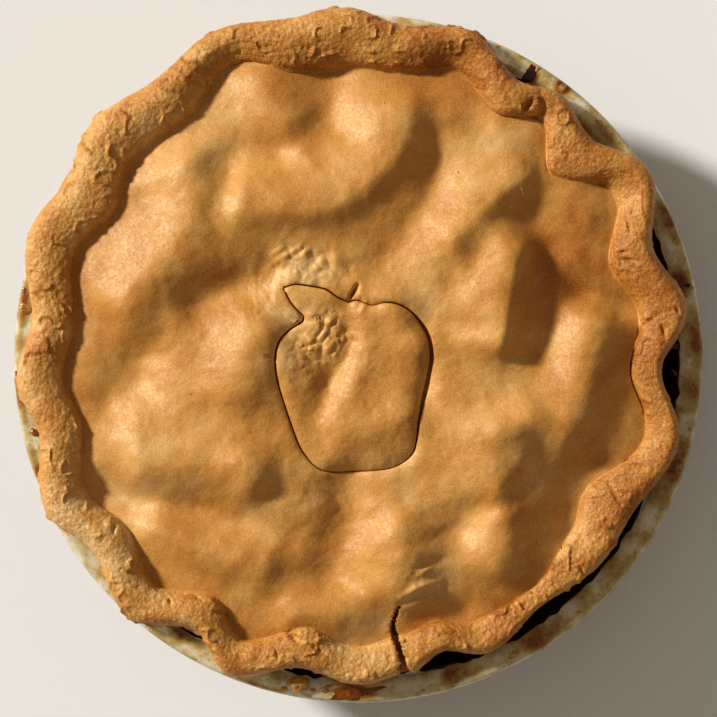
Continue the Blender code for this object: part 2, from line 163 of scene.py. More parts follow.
# outline of the apple: its leaf's upper side, the fruit and the leaf's under side
LEAF_TIP = (-27.3, 25.8)
LEAF_TOP = [LEAF_TIP, (-23.1, 27.0), (-17.7, 26.4), (-11.9, 25.2), (-7.5, 22.3), (-3.6, 20.5)]
APPLE_ROUND = [
    (-3.6, 20.5), (-0.6, 21.2), (4.8, 19.4), (9.5, 20.4), (13.9, 19.9), (18.6, 17.6),
    (22.3, 13.6), (25.3, 8.5), (26.6, 2.4), (26.1, -4.2), (22.3, -21.2), (21.3, -28.9),
    (20.1, -33.9), (17.2, -37.2), (12.8, -39.7), (7.0, -40.8), (-3.2, -41.4), (-11.1, -41.4),
    (-15.3, -39.7), (-18.8, -36.1), (-22.4, -29.9), (-28.2, -12.9), (-30.0, -5.3),
    (-30.2, 1.6), (-28.6, 6.7), (-25.3, 10.3), (-20.4, 13.4),
]
LEAF_UNDER = [(-20.4, 13.4), (-20.1, 15.4), (-22.4, 17.7), (-25.1, 21.1), LEAF_TIP]
APPLE_MIDDLE = (4.0, -6.0)

# crack through the edge: points of its line with its half width there
CRACK = [(14.6, -91.0, 0.35), (12.6, -98.0, 0.6), (13.9, -103.0, 1.0), (15.6, -109.5, 1.1),
         (16.8, -116.0, 1.8)]
CRACK_DEPTH = 8.0
CRACK_MIDDLE = (14.5, -105.0)
CRACK_REACH = 20.0
CRACK_RAGGED = 0.3
FAR_AWAY = 9.0


CURVE_STEPS = 16


def curve(points, count=None):
    """Points evenly spaced along the Catmull-Rom curve through the given ones."""
    p = np.array(points, float)
    ends = np.vstack([2 * p[0] - p[1], p, 2 * p[-1] - p[-2]])
    t = np.linspace(0.0, 1.0, CURVE_STEPS, endpoint=False)[:, None]
    parts = []
    for i in range(len(p) - 1):
        a, b, c, d = ends[i:i + 4]
        parts.append(0.5 * (2 * b + (c - a) * t + (2 * a - 5 * b + 4 * c - d) * t ** 2
                            + (3 * b - a - 3 * c + d) * t ** 3))
    line = np.vstack(parts + [p[-1:]])
    steps = np.hypot(*np.diff(line, axis=0)[:, :2].T)
    length = np.concatenate([[0.0], np.cumsum(steps)])
    if count is None:
        count = max(2, int(round(length[-1] / (0.6 * BLOB_REACH))) + 1)
    at = np.linspace(0.0, length[-1], count)
    return np.stack([np.interp(at, length, line[:, k]) for k in range(p.shape[1])], axis=1)


def around(bearing, column):
    """Value of a column of FLUTES at any bearing: half a cosine wave from bend to bend."""
    table = np.array(FLUTES, float)
    keys = np.concatenate([[table[-1, 0] - 360], table[:, 0], [table[0, 0] + 360]])
    values = np.concatenate([[table[-1, column]], table[:, column], [table[0, column]]])
    a = np.mod(bearing, 360.0)
    i = np.clip(np.searchsorted(keys, a, side="right") - 1, 0, len(keys) - 2)
    t = (a - keys[i]) / (keys[i + 1] - keys[i])
    ease = 0.5 - 0.5 * np.cos(np.pi * t)
    return values[i] * (1 - ease) + values[i + 1] * ease


def swell(x, y, bump):
    """Soft ridge: cube root of a sum of bells strung along the crest line, as wide to each
    side as the slice says."""
    points, height, left, right = bump
    crest = curve(points)
    along = np.gradient(crest, axis=0)
    along /= np.linalg.norm(along, axis=1)[:, None]
    total = np.zeros_like(x)
    for (cx, cy), (ux, uy) in zip(crest, along):
        forward = (x - cx) * ux + (y - cy) * uy
        aside = (y - cy) * ux - (x - cx) * uy
        width = np.where(aside > 0, left, right)
        total += np.exp(-3.0 * ((forward / BLOB_REACH) ** 2 + (aside / width) ** 2))
    return height * np.cbrt(total / 1.15)


def dome_level(x, y):
    """Smooth dome above the flange: a rise that falls off with the cube of the radius."""
    r = np.hypot(x, y)
    return EDGE_LEVEL + DOME_RISE * (1 - np.clip(r / DOME_RADIUS, 0, 1.1) ** 3)


def top_level(x, y):
    """Height of the draped crust above the flange: dome, plus slices, less hollows."""
    z = dome_level(x, y)
    sx = x + 0.9 * np.sin(x / 14.9 + 1.3) * np.cos(y / 19.2 + 0.4) + 0.5 * np.sin((x - y) / 8.3)
    sy = y + 0.9 * np.cos(x / 17.1 + 0.2) * np.sin(y / 14.2 + 2.0) + 0.5 * np.cos((x + y) / 9.8)
    for bump in SLICES:
        z = z + swell(sx, sy, bump)
    for bump in HOLLOWS:
        z = z - swell(sx, sy, bump)
    return z


def crack_drop(x, y):
    """Depth of the crack: steep bell across its line, whose half width changes along it."""
    line = curve(CRACK, 24)
    share = np.full(x.shape, FAR_AWAY)
    near = np.hypot(x - CRACK_MIDDLE[0], y - CRACK_MIDDLE[1]) < CRACK_REACH
    away = np.hypot(x[near][:, None] - line[:, 0], y[near][:, None] - line[:, 1])
    spot = np.stack([x[near], y[near], 0 * x[near]], -1)
    ragged = 1.0 + CRACK_RAGGED * lattice_noise(spot, 1.3, 17)
    share[near] = np.min(away / line[:, 2], axis=-1) * ragged
    return CRACK_DEPTH * np.exp(-share ** 4)


def apple_outline(count):
    """Closed outline of the apple in even steps, with unit normals that point outward."""
    pieces = [curve(LEAF_TOP, 200), curve(APPLE_ROUND, 1600), curve(LEAF_UNDER, 120)]
    line = np.vstack([p[:-1] for p in pieces])
    step = np.roll(line, -1, axis=0) - line
    length = np.concatenate([[0.0], np.cumsum(np.hypot(step[:, 0], step[:, 1]))])
    closed = np.vstack([line, line[:1]])
    at = np.linspace(0.0, length[-1], count, endpoint=False)
    p = np.stack([np.interp(at, length, closed[:, 0]), np.interp(at, length, closed[:, 1])], 1)
    tangent = np.roll(p, -1, axis=0) - np.roll(p, 1, axis=0)
    tangent /= np.linalg.norm(tangent, axis=1)[:, None]
    normal = np.stack([-tangent[:, 1], tangent[:, 0]], axis=1)
    return p, normal


COLUMN_DRIFT = 0.45


def columns(count):
    """Even bearings, each with the outline point and normal that its column starts from. The
    columns drift with the outline by just under half of how far it is from even, smoothed."""
    fine = 7200
    p, normal = apple_outline(fine)
    angle = np.unwrap(np.arctan2(p[:, 1] - APPLE_MIDDLE[1], p[:, 0] - APPLE_MIDDLE[0]))
    even = angle[0] - np.linspace(0.0, 2 * np.pi, fine, endpoint=False)
    drift = angle - even
    window = 363
    padded = np.concatenate([drift[-window:], drift, drift[:window]])
    soft = np.convolve(padded, np.ones(window) / window, mode="same")[window:-window]
    bearing = np.minimum.accumulate(np.degrees(even + COLUMN_DRIFT * soft))
    start = bearing[0]
    wanted = even_bearings(count)
    below = start - np.mod(start - wanted, 360.0)
    index = np.interp(-below, -np.concatenate([bearing, [start - 360.0]]), np.arange(fine + 1))
    whole = np.round(index).astype(int) % fine
    return wanted, p[whole], normal[whole]


def cut_gap(points):
    """Width of the cut: a hair, wider along the apple's right side, narrower along its foot
    and almost shut at its top."""
    right = np.clip((points[:, 0] - 19.0) / 5.0, 0, 1)
    right = right * np.clip((points[:, 1] + 26.0) / 12.0, 0, 1)
    fused = np.exp(-((points[:, 0] - 4.5) / 5.5) ** 4) * (points[:, 1] > 0)
    lower = 0.5 * np.clip((-34.0 - points[:, 1]) / 4.0, 0, 1)
    return (CUT_GAP + (CUT_GAP_RIGHT - CUT_GAP) * right) * (1 - 0.75 * fused - lower)


def wall_radius(z):
    """Inner radius of the glass at height z above the table: a straight slant."""
    top = DISH_HEIGHT - WALL_TOP_DROP
    low = BASE_GLASS + BASE_ROUNDING * 0.35
    t = (z - low) / (top - low)
    foot = BASE_INNER_RADIUS + WALL_FOOT_STEP
    return foot + (WALL_TOP_RADIUS - foot) * t


# ---------------------------------------------------------------- noise and fine relief

NOISE_TABLE = 32
BUBBLE_TABLE = 16


def lattice_noise(p, size, seed):
    """Noise from -1 to 1: random values on a cubic lattice with that spacing in mm, blended
    between its corners by a smooth step."""
    table = np.random.default_rng(seed).uniform(-1.0, 1.0, (NOISE_TABLE,) * 3)
    q = np.asarray(p, float) / size
    cell = np.floor(q).astype(int)
    f = q - cell
    f = f * f * (3.0 - 2.0 * f)
    total = np.zeros(q.shape[:-1])
    for corner in range(8):
        step = np.array([corner & 1, corner >> 1 & 1, corner >> 2])
        at = (cell + step) & (NOISE_TABLE - 1)
        weight = np.prod(np.where(step, f, 1.0 - f), axis=-1)
        total += weight * table[at[..., 0], at[..., 1], at[..., 2]]
    return total


def ripples(p, layers):
    """Sum of noises, each with its spacing in mm, its height and its seed."""
    return sum(height * lattice_noise(p, size, seed) for size, height, seed in layers)


def bubbles(p, size, seed):
    """Distance, in cells, to the nearest and second nearest of points strewn one to a cube."""
    table = np.random.default_rng(seed).uniform(0.0, 1.0, (BUBBLE_TABLE,) * 3 + (3,))
    q = np.asarray(p, float) / size
    cell = np.floor(q).astype(int)
    first = np.full(q.shape[:-1], FAR_AWAY)
    second = first.copy()
    for step in np.ndindex(3, 3, 3):
        at = cell + step - 1
        wrapped = at & (BUBBLE_TABLE - 1)
        dot = at + table[wrapped[..., 0], wrapped[..., 1], wrapped[..., 2]]
        d = np.linalg.norm(q - dot, axis=-1)
        second = np.minimum(second, np.maximum(first, d))
        first = np.minimum(first, d)
    return first, second


def wrinkles(p, cell, seed):
    """Lumps of shrunken skin or blisters, 0 in their seams and 1 on their backs: domes over
    cells of two sizes, bent by noise so that no two are alike. A dome is six tenths of one
    less the square of the share of the way to the seam, and four tenths of half a cosine wave."""
    bend = np.stack([lattice_noise(p, 1.4 * cell, seed + k) for k in range(3)], axis=-1)
    lumps = 0.0
    for share, size, much in ((0.68, cell, 0.20), (0.32, 0.5 * cell, 0.10)):
        near, far = bubbles(p + much * cell * bend, size, seed + 3)
        seam = 2.0 * near / (near + far)
        wave = 0.5 + 0.5 * np.cos(np.pi * seam)
        lumps = lumps + share * (0.6 * (1.0 - seam ** 2) + 0.4 * wave)
    return lumps


def patch(x, y, middle, half, turn=0.0):
    """Soft-edged oval mask: 1 inside, falling to 0 round its rim."""
    a = math.radians(turn)
    dx, dy = x - middle[0], y - middle[1]
    u = (dx * math.cos(a) + dy * math.sin(a)) / half[0]
    v = (-dx * math.sin(a) + dy * math.cos(a)) / half[1]
    return np.exp(-(u * u + v * v) ** 2)


# patches of shrunken, wrinkled skin: middle, half sizes, turn in degrees, depth and lobe in mm
CRAZED = [
    ((-17.0, 33.0), (17.0, 8.0), -8.0, 2.6, 7.4),
    ((-34.0, 25.0), (6.0, 13.0), -12.0, 1.7, 6.0),
    ((-14.0, 7.0), (13.0, 12.0), 20.0, 2.5, 6.4),
    ((24.0, -79.0), (9.0, 5.0), 25.0, 0.6, 4.0),
    ((90.0, 26.0), (5.0, 16.0), 15.0, 0.30, 2.6),
]


# layers of noise: spacing in mm, height and seed
CRUST_RIPPLES = [(9.0, 0.32, 11), (4.2, 0.20, 12), (1.7, 0.08, 13)]
EDGE_RIPPLES = [(7.5, 0.8, 31), (3.2, 0.45, 32), (1.1, 0.2, 34)]
BROWN_CLOUDS = [(26.0, 0.13, 21), (8.0, 0.09, 22)]
BASE_DENTS = [(9.0, 1.0, 41), (4.0, 0.6, 42)]


def fine_relief(x, y):
    """Small forms on the top crust, in mm: slow ripples, grain and the wrinkled patches."""
    p = np.stack([x, y, np.zeros_like(x)], axis=-1)
    z = ripples(p, CRUST_RIPPLES)
    uneven = 0.9 + 0.3 * lattice_noise(p, 6.0, 14)
    for middle, half, turn, depth, lobe in CRAZED:
        mask = patch(x, y, middle, half, turn)
        inside = mask > 0.01
        skin = wrinkles(p[inside], lobe, 40) - 0.5
        z[inside] += (mask * uneven)[inside] * depth * skin
    return z


# creases and ridgelets: line in mm, half width and height (below 0 is a groove)
FOLDS = [
    ([(16.0, -86.8), (22.0, -83.6), (30.0, -81.2)], 1.3, 1.2),
    ([(15.5, -89.6), (22.5, -86.4), (31, -84.2)], 1.4, -1.5),
    ([(21.5, -79.5), (27, -75.5)], 0.9, 0.8),
    ([(20.5, -76.5), (30, -73.5)], 1.3, -0.8),
    ([(-0.2, 26.8), (-3.3, 21.5)], 0.65, -3.0),
    ([(59.5, 61.5), (61.0, 57.5)], 0.6, 0.7),
    ([(58.2, 62.0), (59.9, 57.8)], 0.6, -0.6),
    ([(-17.5, -48.5), (-9.5, -50.5), (-6.5, -55), (-10, -58.6)], 1.6, -0.5),
    ([(-3.4, 18.5), (-2.6, 8.0), (-5.5, -2.5), (-12.0, -12.0), (-17.5, -27.0)], 3.5, -0.6),
    ([(2.0, 13.0), (3.0, 2.0), (-3.0, -12.0), (-11.0, -24.0)], 4.0, 0.9),
    ([(-31.0, 34.5), (-27.0, 37.0), (-21.5, 40.5)], 0.8, 0.5),
    ([(-33.0, 37.0), (-27.5, 40.5)], 0.7, 0.4),
    ([(-36.0, 30.0), (-37.5, 24.0), (-36.5, 17.0)], 0.7, 0.35),
    ([(-1.5, 20.0), (1.0, 23.0), (2.5, 20.5), (0.5, 16.5)], 1.2, 0.8),
    ([(-34.0, 1.0), (-31.0, -0.2)], 0.6, -0.6),
    ([(-27.0, -4.0), (-24.5, -18.0), (-20.0, -33.0)], 5.0, 0.9),
]


def crust_level(x, y):
    """Height above the table of the finished top crust."""
    return (DISH_HEIGHT + top_level(x, y) + fine_relief(x, y) + line_relief(x, y, FOLDS)
            - crack_drop(x, y))


# ---------------------------------------------------------------- meshes

def grid_faces(rows, count, start=0):
    """Quads of a grid that closes on itself sideways."""
    k = np.arange(rows - 1)[:, None] * count + start
    i = np.arange(count)[None, :]
    j = (i + 1) % count
    return np.stack([k + i, k + j, k + count + j, k + count + i], axis=-1).reshape(-1, 4)


def add_piece(name, points, quads, tris, replaced, material, marks=None):
    """Puts a computed surface into a mesh, smooth shaded, and ties it to the CAD body."""
    mesh = bpy.data.meshes.new(name)
    quads = np.asarray(quads, np.int32).reshape(-1, 4)
    tris = np.asarray(tris, np.int32).reshape(-1, 3)
    metres = np.asarray(points, np.float64) * MM
    mesh.vertices.add(len(metres))
    mesh.vertices.foreach_set("co", metres.astype(np.float32).ravel())
    loops = np.concatenate([quads.ravel(), tris.ravel()])
    mesh.loops.add(len(loops))
    mesh.loops.foreach_set("vertex_index", loops)
    starts = np.concatenate([np.arange(len(quads)) * 4,
                             len(quads) * 4 + np.arange(len(tris)) * 3]).astype(np.int32)
    mesh.polygons.add(len(starts))
    mesh.polygons.foreach_set("loop_start", starts)
    mesh.polygons.foreach_set("use_smooth", np.ones(len(starts), bool))
    mesh.update(calc_edges=True)
    mesh.validate()
    mesh.set_sharp_from_angle(angle=math.radians(60.0))
    for key, values in (marks or {}).items():
        layer = mesh.attributes.new(key, "FLOAT", "POINT")
        layer.data.foreach_set("value", np.asarray(values, np.float32).ravel())
    mesh.materials.append(material)
    piece = bpy.data.objects.new(name, mesh)
    bpy.context.scene.collection.objects.link(piece)
    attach(piece, BODY)
    if replaced:
        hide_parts(replaced)
    return piece


def shut(rows, first, last):
    """Points, quads and end fans of a body lofted through rows that run from low to high."""
    count = rows.shape[1]
    points = np.vstack([rows.reshape(-1, 3), [first], [last]])
    quads = grid_faces(len(rows), count)
    i = np.arange(count)
    j = (i + 1) % count
    n = len(rows) * count
    low = np.stack([np.full(count, n), j, i], axis=1)
    high = np.stack([np.full(count, n + 1), n - count + i, n - count + j], axis=1)
    return points, quads, np.vstack([low, high])


def even_bearings(count):
    """Bearings in degrees in even steps once round."""
    return np.arange(count) * 360.0 / count


def ring(bearing, radius, level):
    """One row of points round the pie."""
    a = np.radians(bearing)
    radius = np.broadcast_to(radius, a.shape)
    return np.stack([radius * np.cos(a), radius * np.sin(a), np.broadcast_to(level, a.shape)], 1)


def grid_normals(rows):
    """Unit normals of a closed grid from its central differences, outward."""
    along = np.roll(rows, -1, axis=1) - np.roll(rows, 1, axis=1)
    across = np.gradient(rows, axis=0)
    n = np.cross(along, across)
    return n / np.maximum(np.linalg.norm(n, axis=-1, keepdims=True), 1e-9)


# ---------------------------------------------------------------- materials

def linear(code):
    """sRGB hex to a linear colour with alpha 1."""
    values = np.array([int(code[i:i + 2], 16) / 255.0 for i in (1, 3, 5)])
    bright = ((values + 0.055) / 1.055) ** 2.4
    return (*np.where(values <= 0.04045, values / 12.92, bright).tolist(), 1.0)


def add_node(tree, kind, settings, inputs, output=0):
    """Adds a shader node. Settings are its own properties or the stops of its ramp; inputs, by
    name or place, are numbers, colours or the sockets that feed them. Returns one output."""
    made = tree.nodes.new(kind)
    for key, value in settings.items():
        if key != "stops":
            setattr(made, key, value)
            continue
        elements = made.color_ramp.elements
        for element, (position, colour) in zip((elements[0], elements[1]), (value[0], value[-1])):
            element.position = position
            element.color = colour
        for position, colour in value[1:-1]:
            elements.new(position).color = colour
    for key, value in inputs.items():
        if isinstance(value, bpy.types.NodeSocket):
            tree.links.new(value, made.inputs[key])
        else:
            made.inputs[key].default_value = value
    return made.outputs[output]


COORDINATES = "ShaderNodeTexCoord"
ATTRIBUTE = "ShaderNodeAttribute"
NOISE = "ShaderNodeTexNoise"
MATH = "ShaderNodeMath"
RANGE = "ShaderNodeMapRange"
RAMP = "ShaderNodeValToRGB"
MIX = "ShaderNodeMix"
BUMP = "ShaderNodeBump"
SMOOTH = {"interpolation_type": "SMOOTHSTEP"}
COLOURS = {"data_type": "RGBA"}
MIX_FIRST, MIX_SECOND, MIX_RESULT = 6, 7, 2


def scale(size_mm):
    """Texture scale whose features are about that large."""
    return 1.0 / (size_mm * MM)


def new_material(name):
    """Empty node material with its Principled shader."""
    made = bpy.data.materials.new(name)
    made.use_nodes = True
    return made, made.node_tree, made.node_tree.nodes["Principled BSDF"]


FLOUR_SIZE = 0.55
FLOUR = 0.42


def pastry_material(name, finish, bumpiness, mottling=0.34, graininess=0.24):
    """Baked shortcrust: flour dough browned in the oven. Dry and matt with a faint greasy sheen,
    golden where it baked least and brown on the blisters, with a grain of about a millimetre.
    The tone comes from an attribute that holds the browning, with painted shade in the fluted
    edge's low places and painted light on the bottom crust, plus three noises: clouds, grain and
    flour."""
    made, tree, shader = new_material(name)
    place = add_node(tree, COORDINATES, {}, {}, "Object")
    tone, scorched = [add_node(tree, ATTRIBUTE, {"attribute_name": mark}, {}, "Fac")
                      for mark in ("browned", "scorched")]
    clouds, grain, flour, speck, pits = [
        add_node(tree, NOISE, {}, {"Vector": place, "Scale": scale(size), "Detail": detail,
                                   "Roughness": roughness}, "Fac")
        for size, detail, roughness in ((9.0, 5.0, 0.62), (1.3, 3.0, 0.6), (FLOUR_SIZE, 1.0, 0.5),
                                        (0.9, 1.0, 0.4), (0.8, 3.0, 0.65))]
    for noise, amount in ((clouds, mottling), (grain, graininess), (flour, FLOUR)):
        centred = add_node(tree, MATH, {"operation": "SUBTRACT"}, {0: noise, 1: 0.5})
        tone = add_node(tree, MATH, {"operation": "MULTIPLY_ADD"}, {0: centred, 1: amount, 2: tone})
    pastry = add_node(tree, RAMP, {"stops": [
        (0.0, tuple(finish.floury)), (0.36, tuple(finish.golden)), (0.68, tuple(finish.brown)),
        (1.0, tuple(finish.dark_brown))]}, {"Fac": tone})
    burnt = add_node(tree, MATH, {"operation": "MULTIPLY_ADD"}, {0: speck, 1: 0.5, 2: scorched})
    burnt = add_node(tree, RANGE, SMOOTH, {"Value": burnt, "From Min": 0.6, "From Max": 1.05})
    colour = add_node(tree, MIX, COLOURS, {0: burnt, MIX_FIRST: pastry,
                                           MIX_SECOND: tuple(finish.scorched)}, MIX_RESULT)
    tree.links.new(colour, shader.inputs["Base Color"])
    # a greasy sheen on the fat between the grains
    rough = add_node(tree, RANGE, {}, {"Value": grain, "From Min": 0.3, "From Max": 0.7,
                                       "To Min": 0.44, "To Max": 0.62})
    tree.links.new(rough, shader.inputs["Roughness"])
    shader.inputs["IOR"].default_value = 1.45
    shader.inputs["Specular IOR Level"].default_value = 0.7
    blisters = add_node(tree, "ShaderNodeTexVoronoi", {"feature": "SMOOTH_F1"},
                        {"Vector": place, "Scale": scale(1.5), "Smoothness": 0.35}, "Distance")
    blisters = add_node(tree, MATH, {"operation": "MULTIPLY"}, {0: blisters, 1: mottling})
    height = add_node(tree, MATH, {"operation": "SUBTRACT"}, {0: pits, 1: blisters})
    bump = add_node(tree, BUMP, {}, {"Strength": bumpiness, "Distance": 0.45 * MM,
                                     "Height": height})
    tree.links.new(bump, shader.inputs["Normal"])
    return made


# transmission of the glass: clean, milky with the baked-on film, and what an opaque stain takes off
CLEAN_CLEARNESS = 0.96
MILKY_CLEARNESS = 0.22
STAIN_LOSS = 0.14
FILM_STAIN = 0.37


def glass_material(finish):
    """Pressed soda-lime glass, clear with a faint green in its thickness. On the flange a baked-on
    film of grease makes it milky, and juice stains it from khaki to amber with dark specks."""
    made, tree, shader = new_material("pressed_soda_lime_glass")
    place = add_node(tree, COORDINATES, {}, {}, "Object")
    stain = add_node(tree, ATTRIBUTE, {"attribute_name": "stain"}, {}, "Fac")
    blotch, speck = [
        add_node(tree, NOISE, {}, {"Vector": place, "Scale": scale(size), "Detail": detail,
                                   "Roughness": roughness}, "Fac")
        for size, detail, roughness in ((9.0, 6.0, 0.6), (1.2, 2.0, 0.5))]
    film = add_node(tree, MATH, {"operation": "MULTIPLY_ADD"}, {0: blotch, 1: 0.9, 2: stain})
    film = add_node(tree, RANGE, SMOOTH, {"Value": film, "From Min": 0.63, "From Max": 1.4})
    spots = add_node(tree, RANGE, SMOOTH, {"Value": speck, "From Min": 0.63, "From Max": 0.68})
    spots = add_node(tree, MATH, {"operation": "MULTIPLY", "use_clamp": True}, {0: spots, 1: stain})
    stained = add_node(tree, RAMP, {"stops": [
        (0.0, tuple(finish.glass)), (0.24, tuple(finish.grease)), (0.62, tuple(finish.juice)),
        (1.0, tuple(finish.burnt_juice))]}, {"Fac": film})
    stained = add_node(tree, MIX, COLOURS, {0: spots, MIX_FIRST: stained,
                                            MIX_SECOND: tuple(finish.burnt_juice)}, MIX_RESULT)
    milky = add_node(tree, RANGE, {}, {"Value": stain, "From Max": FILM_STAIN})
    opaque = add_node(tree, MATH, {"operation": "MAXIMUM"}, {0: film, 1: spots})
    opaque = add_node(tree, MATH, {"operation": "MULTIPLY"}, {0: opaque, 1: milky})
    colour = add_node(tree, MIX, COLOURS, {0: milky, MIX_FIRST: tuple(finish.clear_glass),
                                           MIX_SECOND: stained}, MIX_RESULT)
    tree.links.new(colour, shader.inputs["Base Color"])
    clear = add_node(tree, MATH, {"operation": "MULTIPLY_ADD"},
                     {0: milky, 1: MILKY_CLEARNESS - CLEAN_CLEARNESS, 2: CLEAN_CLEARNESS})
    clear = add_node(tree, MATH, {"operation": "MULTIPLY_ADD"},
                     {0: opaque, 1: -STAIN_LOSS, 2: clear})
    tree.links.new(clear, shader.inputs["Transmission Weight"])
    rough = add_node(tree, RANGE, {}, {"Value": opaque, "To Min": 0.06, "To Max": 0.35})
    tree.links.new(rough, shader.inputs["Roughness"])
    shader.inputs["IOR"].default_value = 1.5
    return made


def juice_material(name, colour, dark, roughness):
    """Apple juice and sugar boiled out and caramelised on the glass: glossy amber where thick,
    nearly black where it burnt."""
    made, tree, shader = new_material(name)
    place = add_node(tree, COORDINATES, {}, {}, "Object")
    cloud = add_node(tree, NOISE, {}, {"Vector": place, "Scale": scale(2.2), "Detail": 4.0,
                                       "Roughness": 0.6}, "Fac")
    share = add_node(tree, RANGE, {}, {"Value": cloud, "From Min": 0.35, "From Max": 0.65})
    mixed = add_node(tree, MIX, COLOURS, {0: share, MIX_FIRST: colour, MIX_SECOND: dark},
                     MIX_RESULT)
    tree.links.new(mixed, shader.inputs["Base Color"])
    for socket, value in (("Roughness", roughness), ("IOR", 1.45), ("Coat Weight", 0.5),
                          ("Coat Roughness", 0.15)):
        shader.inputs[socket].default_value = value
    bump = add_node(tree, BUMP, {}, {"Strength": 0.3, "Distance": 0.3 * MM, "Height": cloud})
    tree.links.new(bump, shader.inputs["Normal"])
    return made


# ---------------------------------------------------------------- surfaces of the pie

ORANGE_SPOTS = [
    ((77.0, 40.0), (15.0, 21.0), 10.0, 0.20), ((-88.0, 22.0), (14.0, 26.0), 20.0, 0.10),
    ((-10.0, -62.0), (20.0, 12.0), 0.0, 0.08), ((-55.0, -68.0), (22.0, 14.0), -35.0, 0.10),
]
PALE_SPOTS = [
    ((-14.0, 33.0), (17.0, 7.0), -8.0, 0.03), ((-26.0, -55.0), (12.0, 5.0), 0.0, 0.05),
    ((0.0, -38.0), (20.0, 5.0), 0.0, 0.10), ((24.0, -84.0), (10.0, 4.0), 20.0, 0.07),
]
BURNT_DOTS = [
    (36.4, 68.1, 0.55), (69.8, 44.5, 0.6), (9.6, 93.5, 0.5), (65.1, -67.3, 0.5),
    (74.2, -69.5, 0.5), (-37.0, 31.5, 0.35), (20.5, 45.0, 0.35), (-61.0, -13.0, 0.3),
]


MIDDLE_TONE = 0.40


def browning(p, edge, proud):
    """How far the pastry browned, 0 to 1: slow clouds, more on the edge and on what stands proud,
    with the listed spots added or taken off. The fluted edge gives its relief negated, so there the
    low places come out darker: painted shade, partly real browning."""
    x, y = p[..., 0], p[..., 1]
    tone = MIDDLE_TONE + ripples(p, BROWN_CLOUDS) + 0.16 * edge + 0.22 * proud
    for middle, half, turn, amount in ORANGE_SPOTS:
        tone = tone + amount * patch(x, y, middle, half, turn)
    for middle, half, turn, amount in PALE_SPOTS:
        tone = tone - amount * patch(x, y, middle, half, turn)
    return np.clip(tone, 0.0, 1.0)


def scorching(p):
    """Burnt dots: a steep bell round each."""
    burnt = np.zeros(p.shape[:-1])
    for x, y, radius in BURNT_DOTS:
        away = np.hypot(p[..., 0] - x, p[..., 1] - y)
        burnt = np.maximum(burnt, np.exp(-(away / radius) ** 4))
    return burnt


def pastry_marks(browned, burnt, ends=(MIDDLE_TONE, MIDDLE_TONE)):
    """Both attributes of the pastry's material, with their values at a shut body's two ends."""
    return {"browned": np.append(browned.ravel(), ends),
            "scorched": np.append(burnt.ravel(), np.zeros(len(ends)))}


def crest_share(bearing):
    """Where the crest stands across the edge: nearer the lip at the lower right."""
    return CREST_SHARE + CREST_LEAN * np.cos(np.radians(bearing - LEAN_BEARING))


def roundness(bearing, foot):
    """Power of the superellipse on the edge's inner side: a round tube, but slack where the
    edge draws back on the upper right."""
    back = np.clip((foot - TUBE_FOOT) / (SLACK_FOOT - TUBE_FOOT), 0, 1)
    side = np.clip(2.0 * np.cos(np.radians(bearing - SLACK_BEARING)), 0, 1)
    return TUBE_POWER - SLACK_POWER * back * side


def edge_form(bearing, share):
    """Fluted edge before its fine relief. Across it the level rises from the crust to the crest
    as a superellipse, eased at its foot, and falls to the lip as one of LIP_POWER."""
    outer = around(bearing, 1)
    foot = around(bearing, 2)
    crest = around(bearing, 3)
    a = np.radians(bearing)
    inner = top_level(foot * np.cos(a), foot * np.sin(a))
    s = np.asarray(share, float)
    radius = foot + (outer - foot) * s
    high = crest_share(bearing)
    left = 1 - np.clip(s / high, 0, 1)
    power = roundness(bearing, foot)
    left = 1 - (1 - left) * settle(1 - left, 0.0, FILLET)
    rise = (1 - left ** power) ** (1 / power)
    past = np.clip((s - high) / (1 - high), 0, 1)
    fall = np.sqrt(np.clip(1 - past ** LIP_POWER, 0, 1))
    level = np.where(s < high, inner * (1 - rise) + crest * rise,
                     LIP_LEVEL + (crest - LIP_LEVEL) * fall)
    x, y = radius * np.cos(a), radius * np.sin(a)
    z = np.maximum(DISH_HEIGHT + level - crack_drop(x, y), DISH_HEIGHT + 1.2)
    return np.stack([x, y, z], axis=-1)


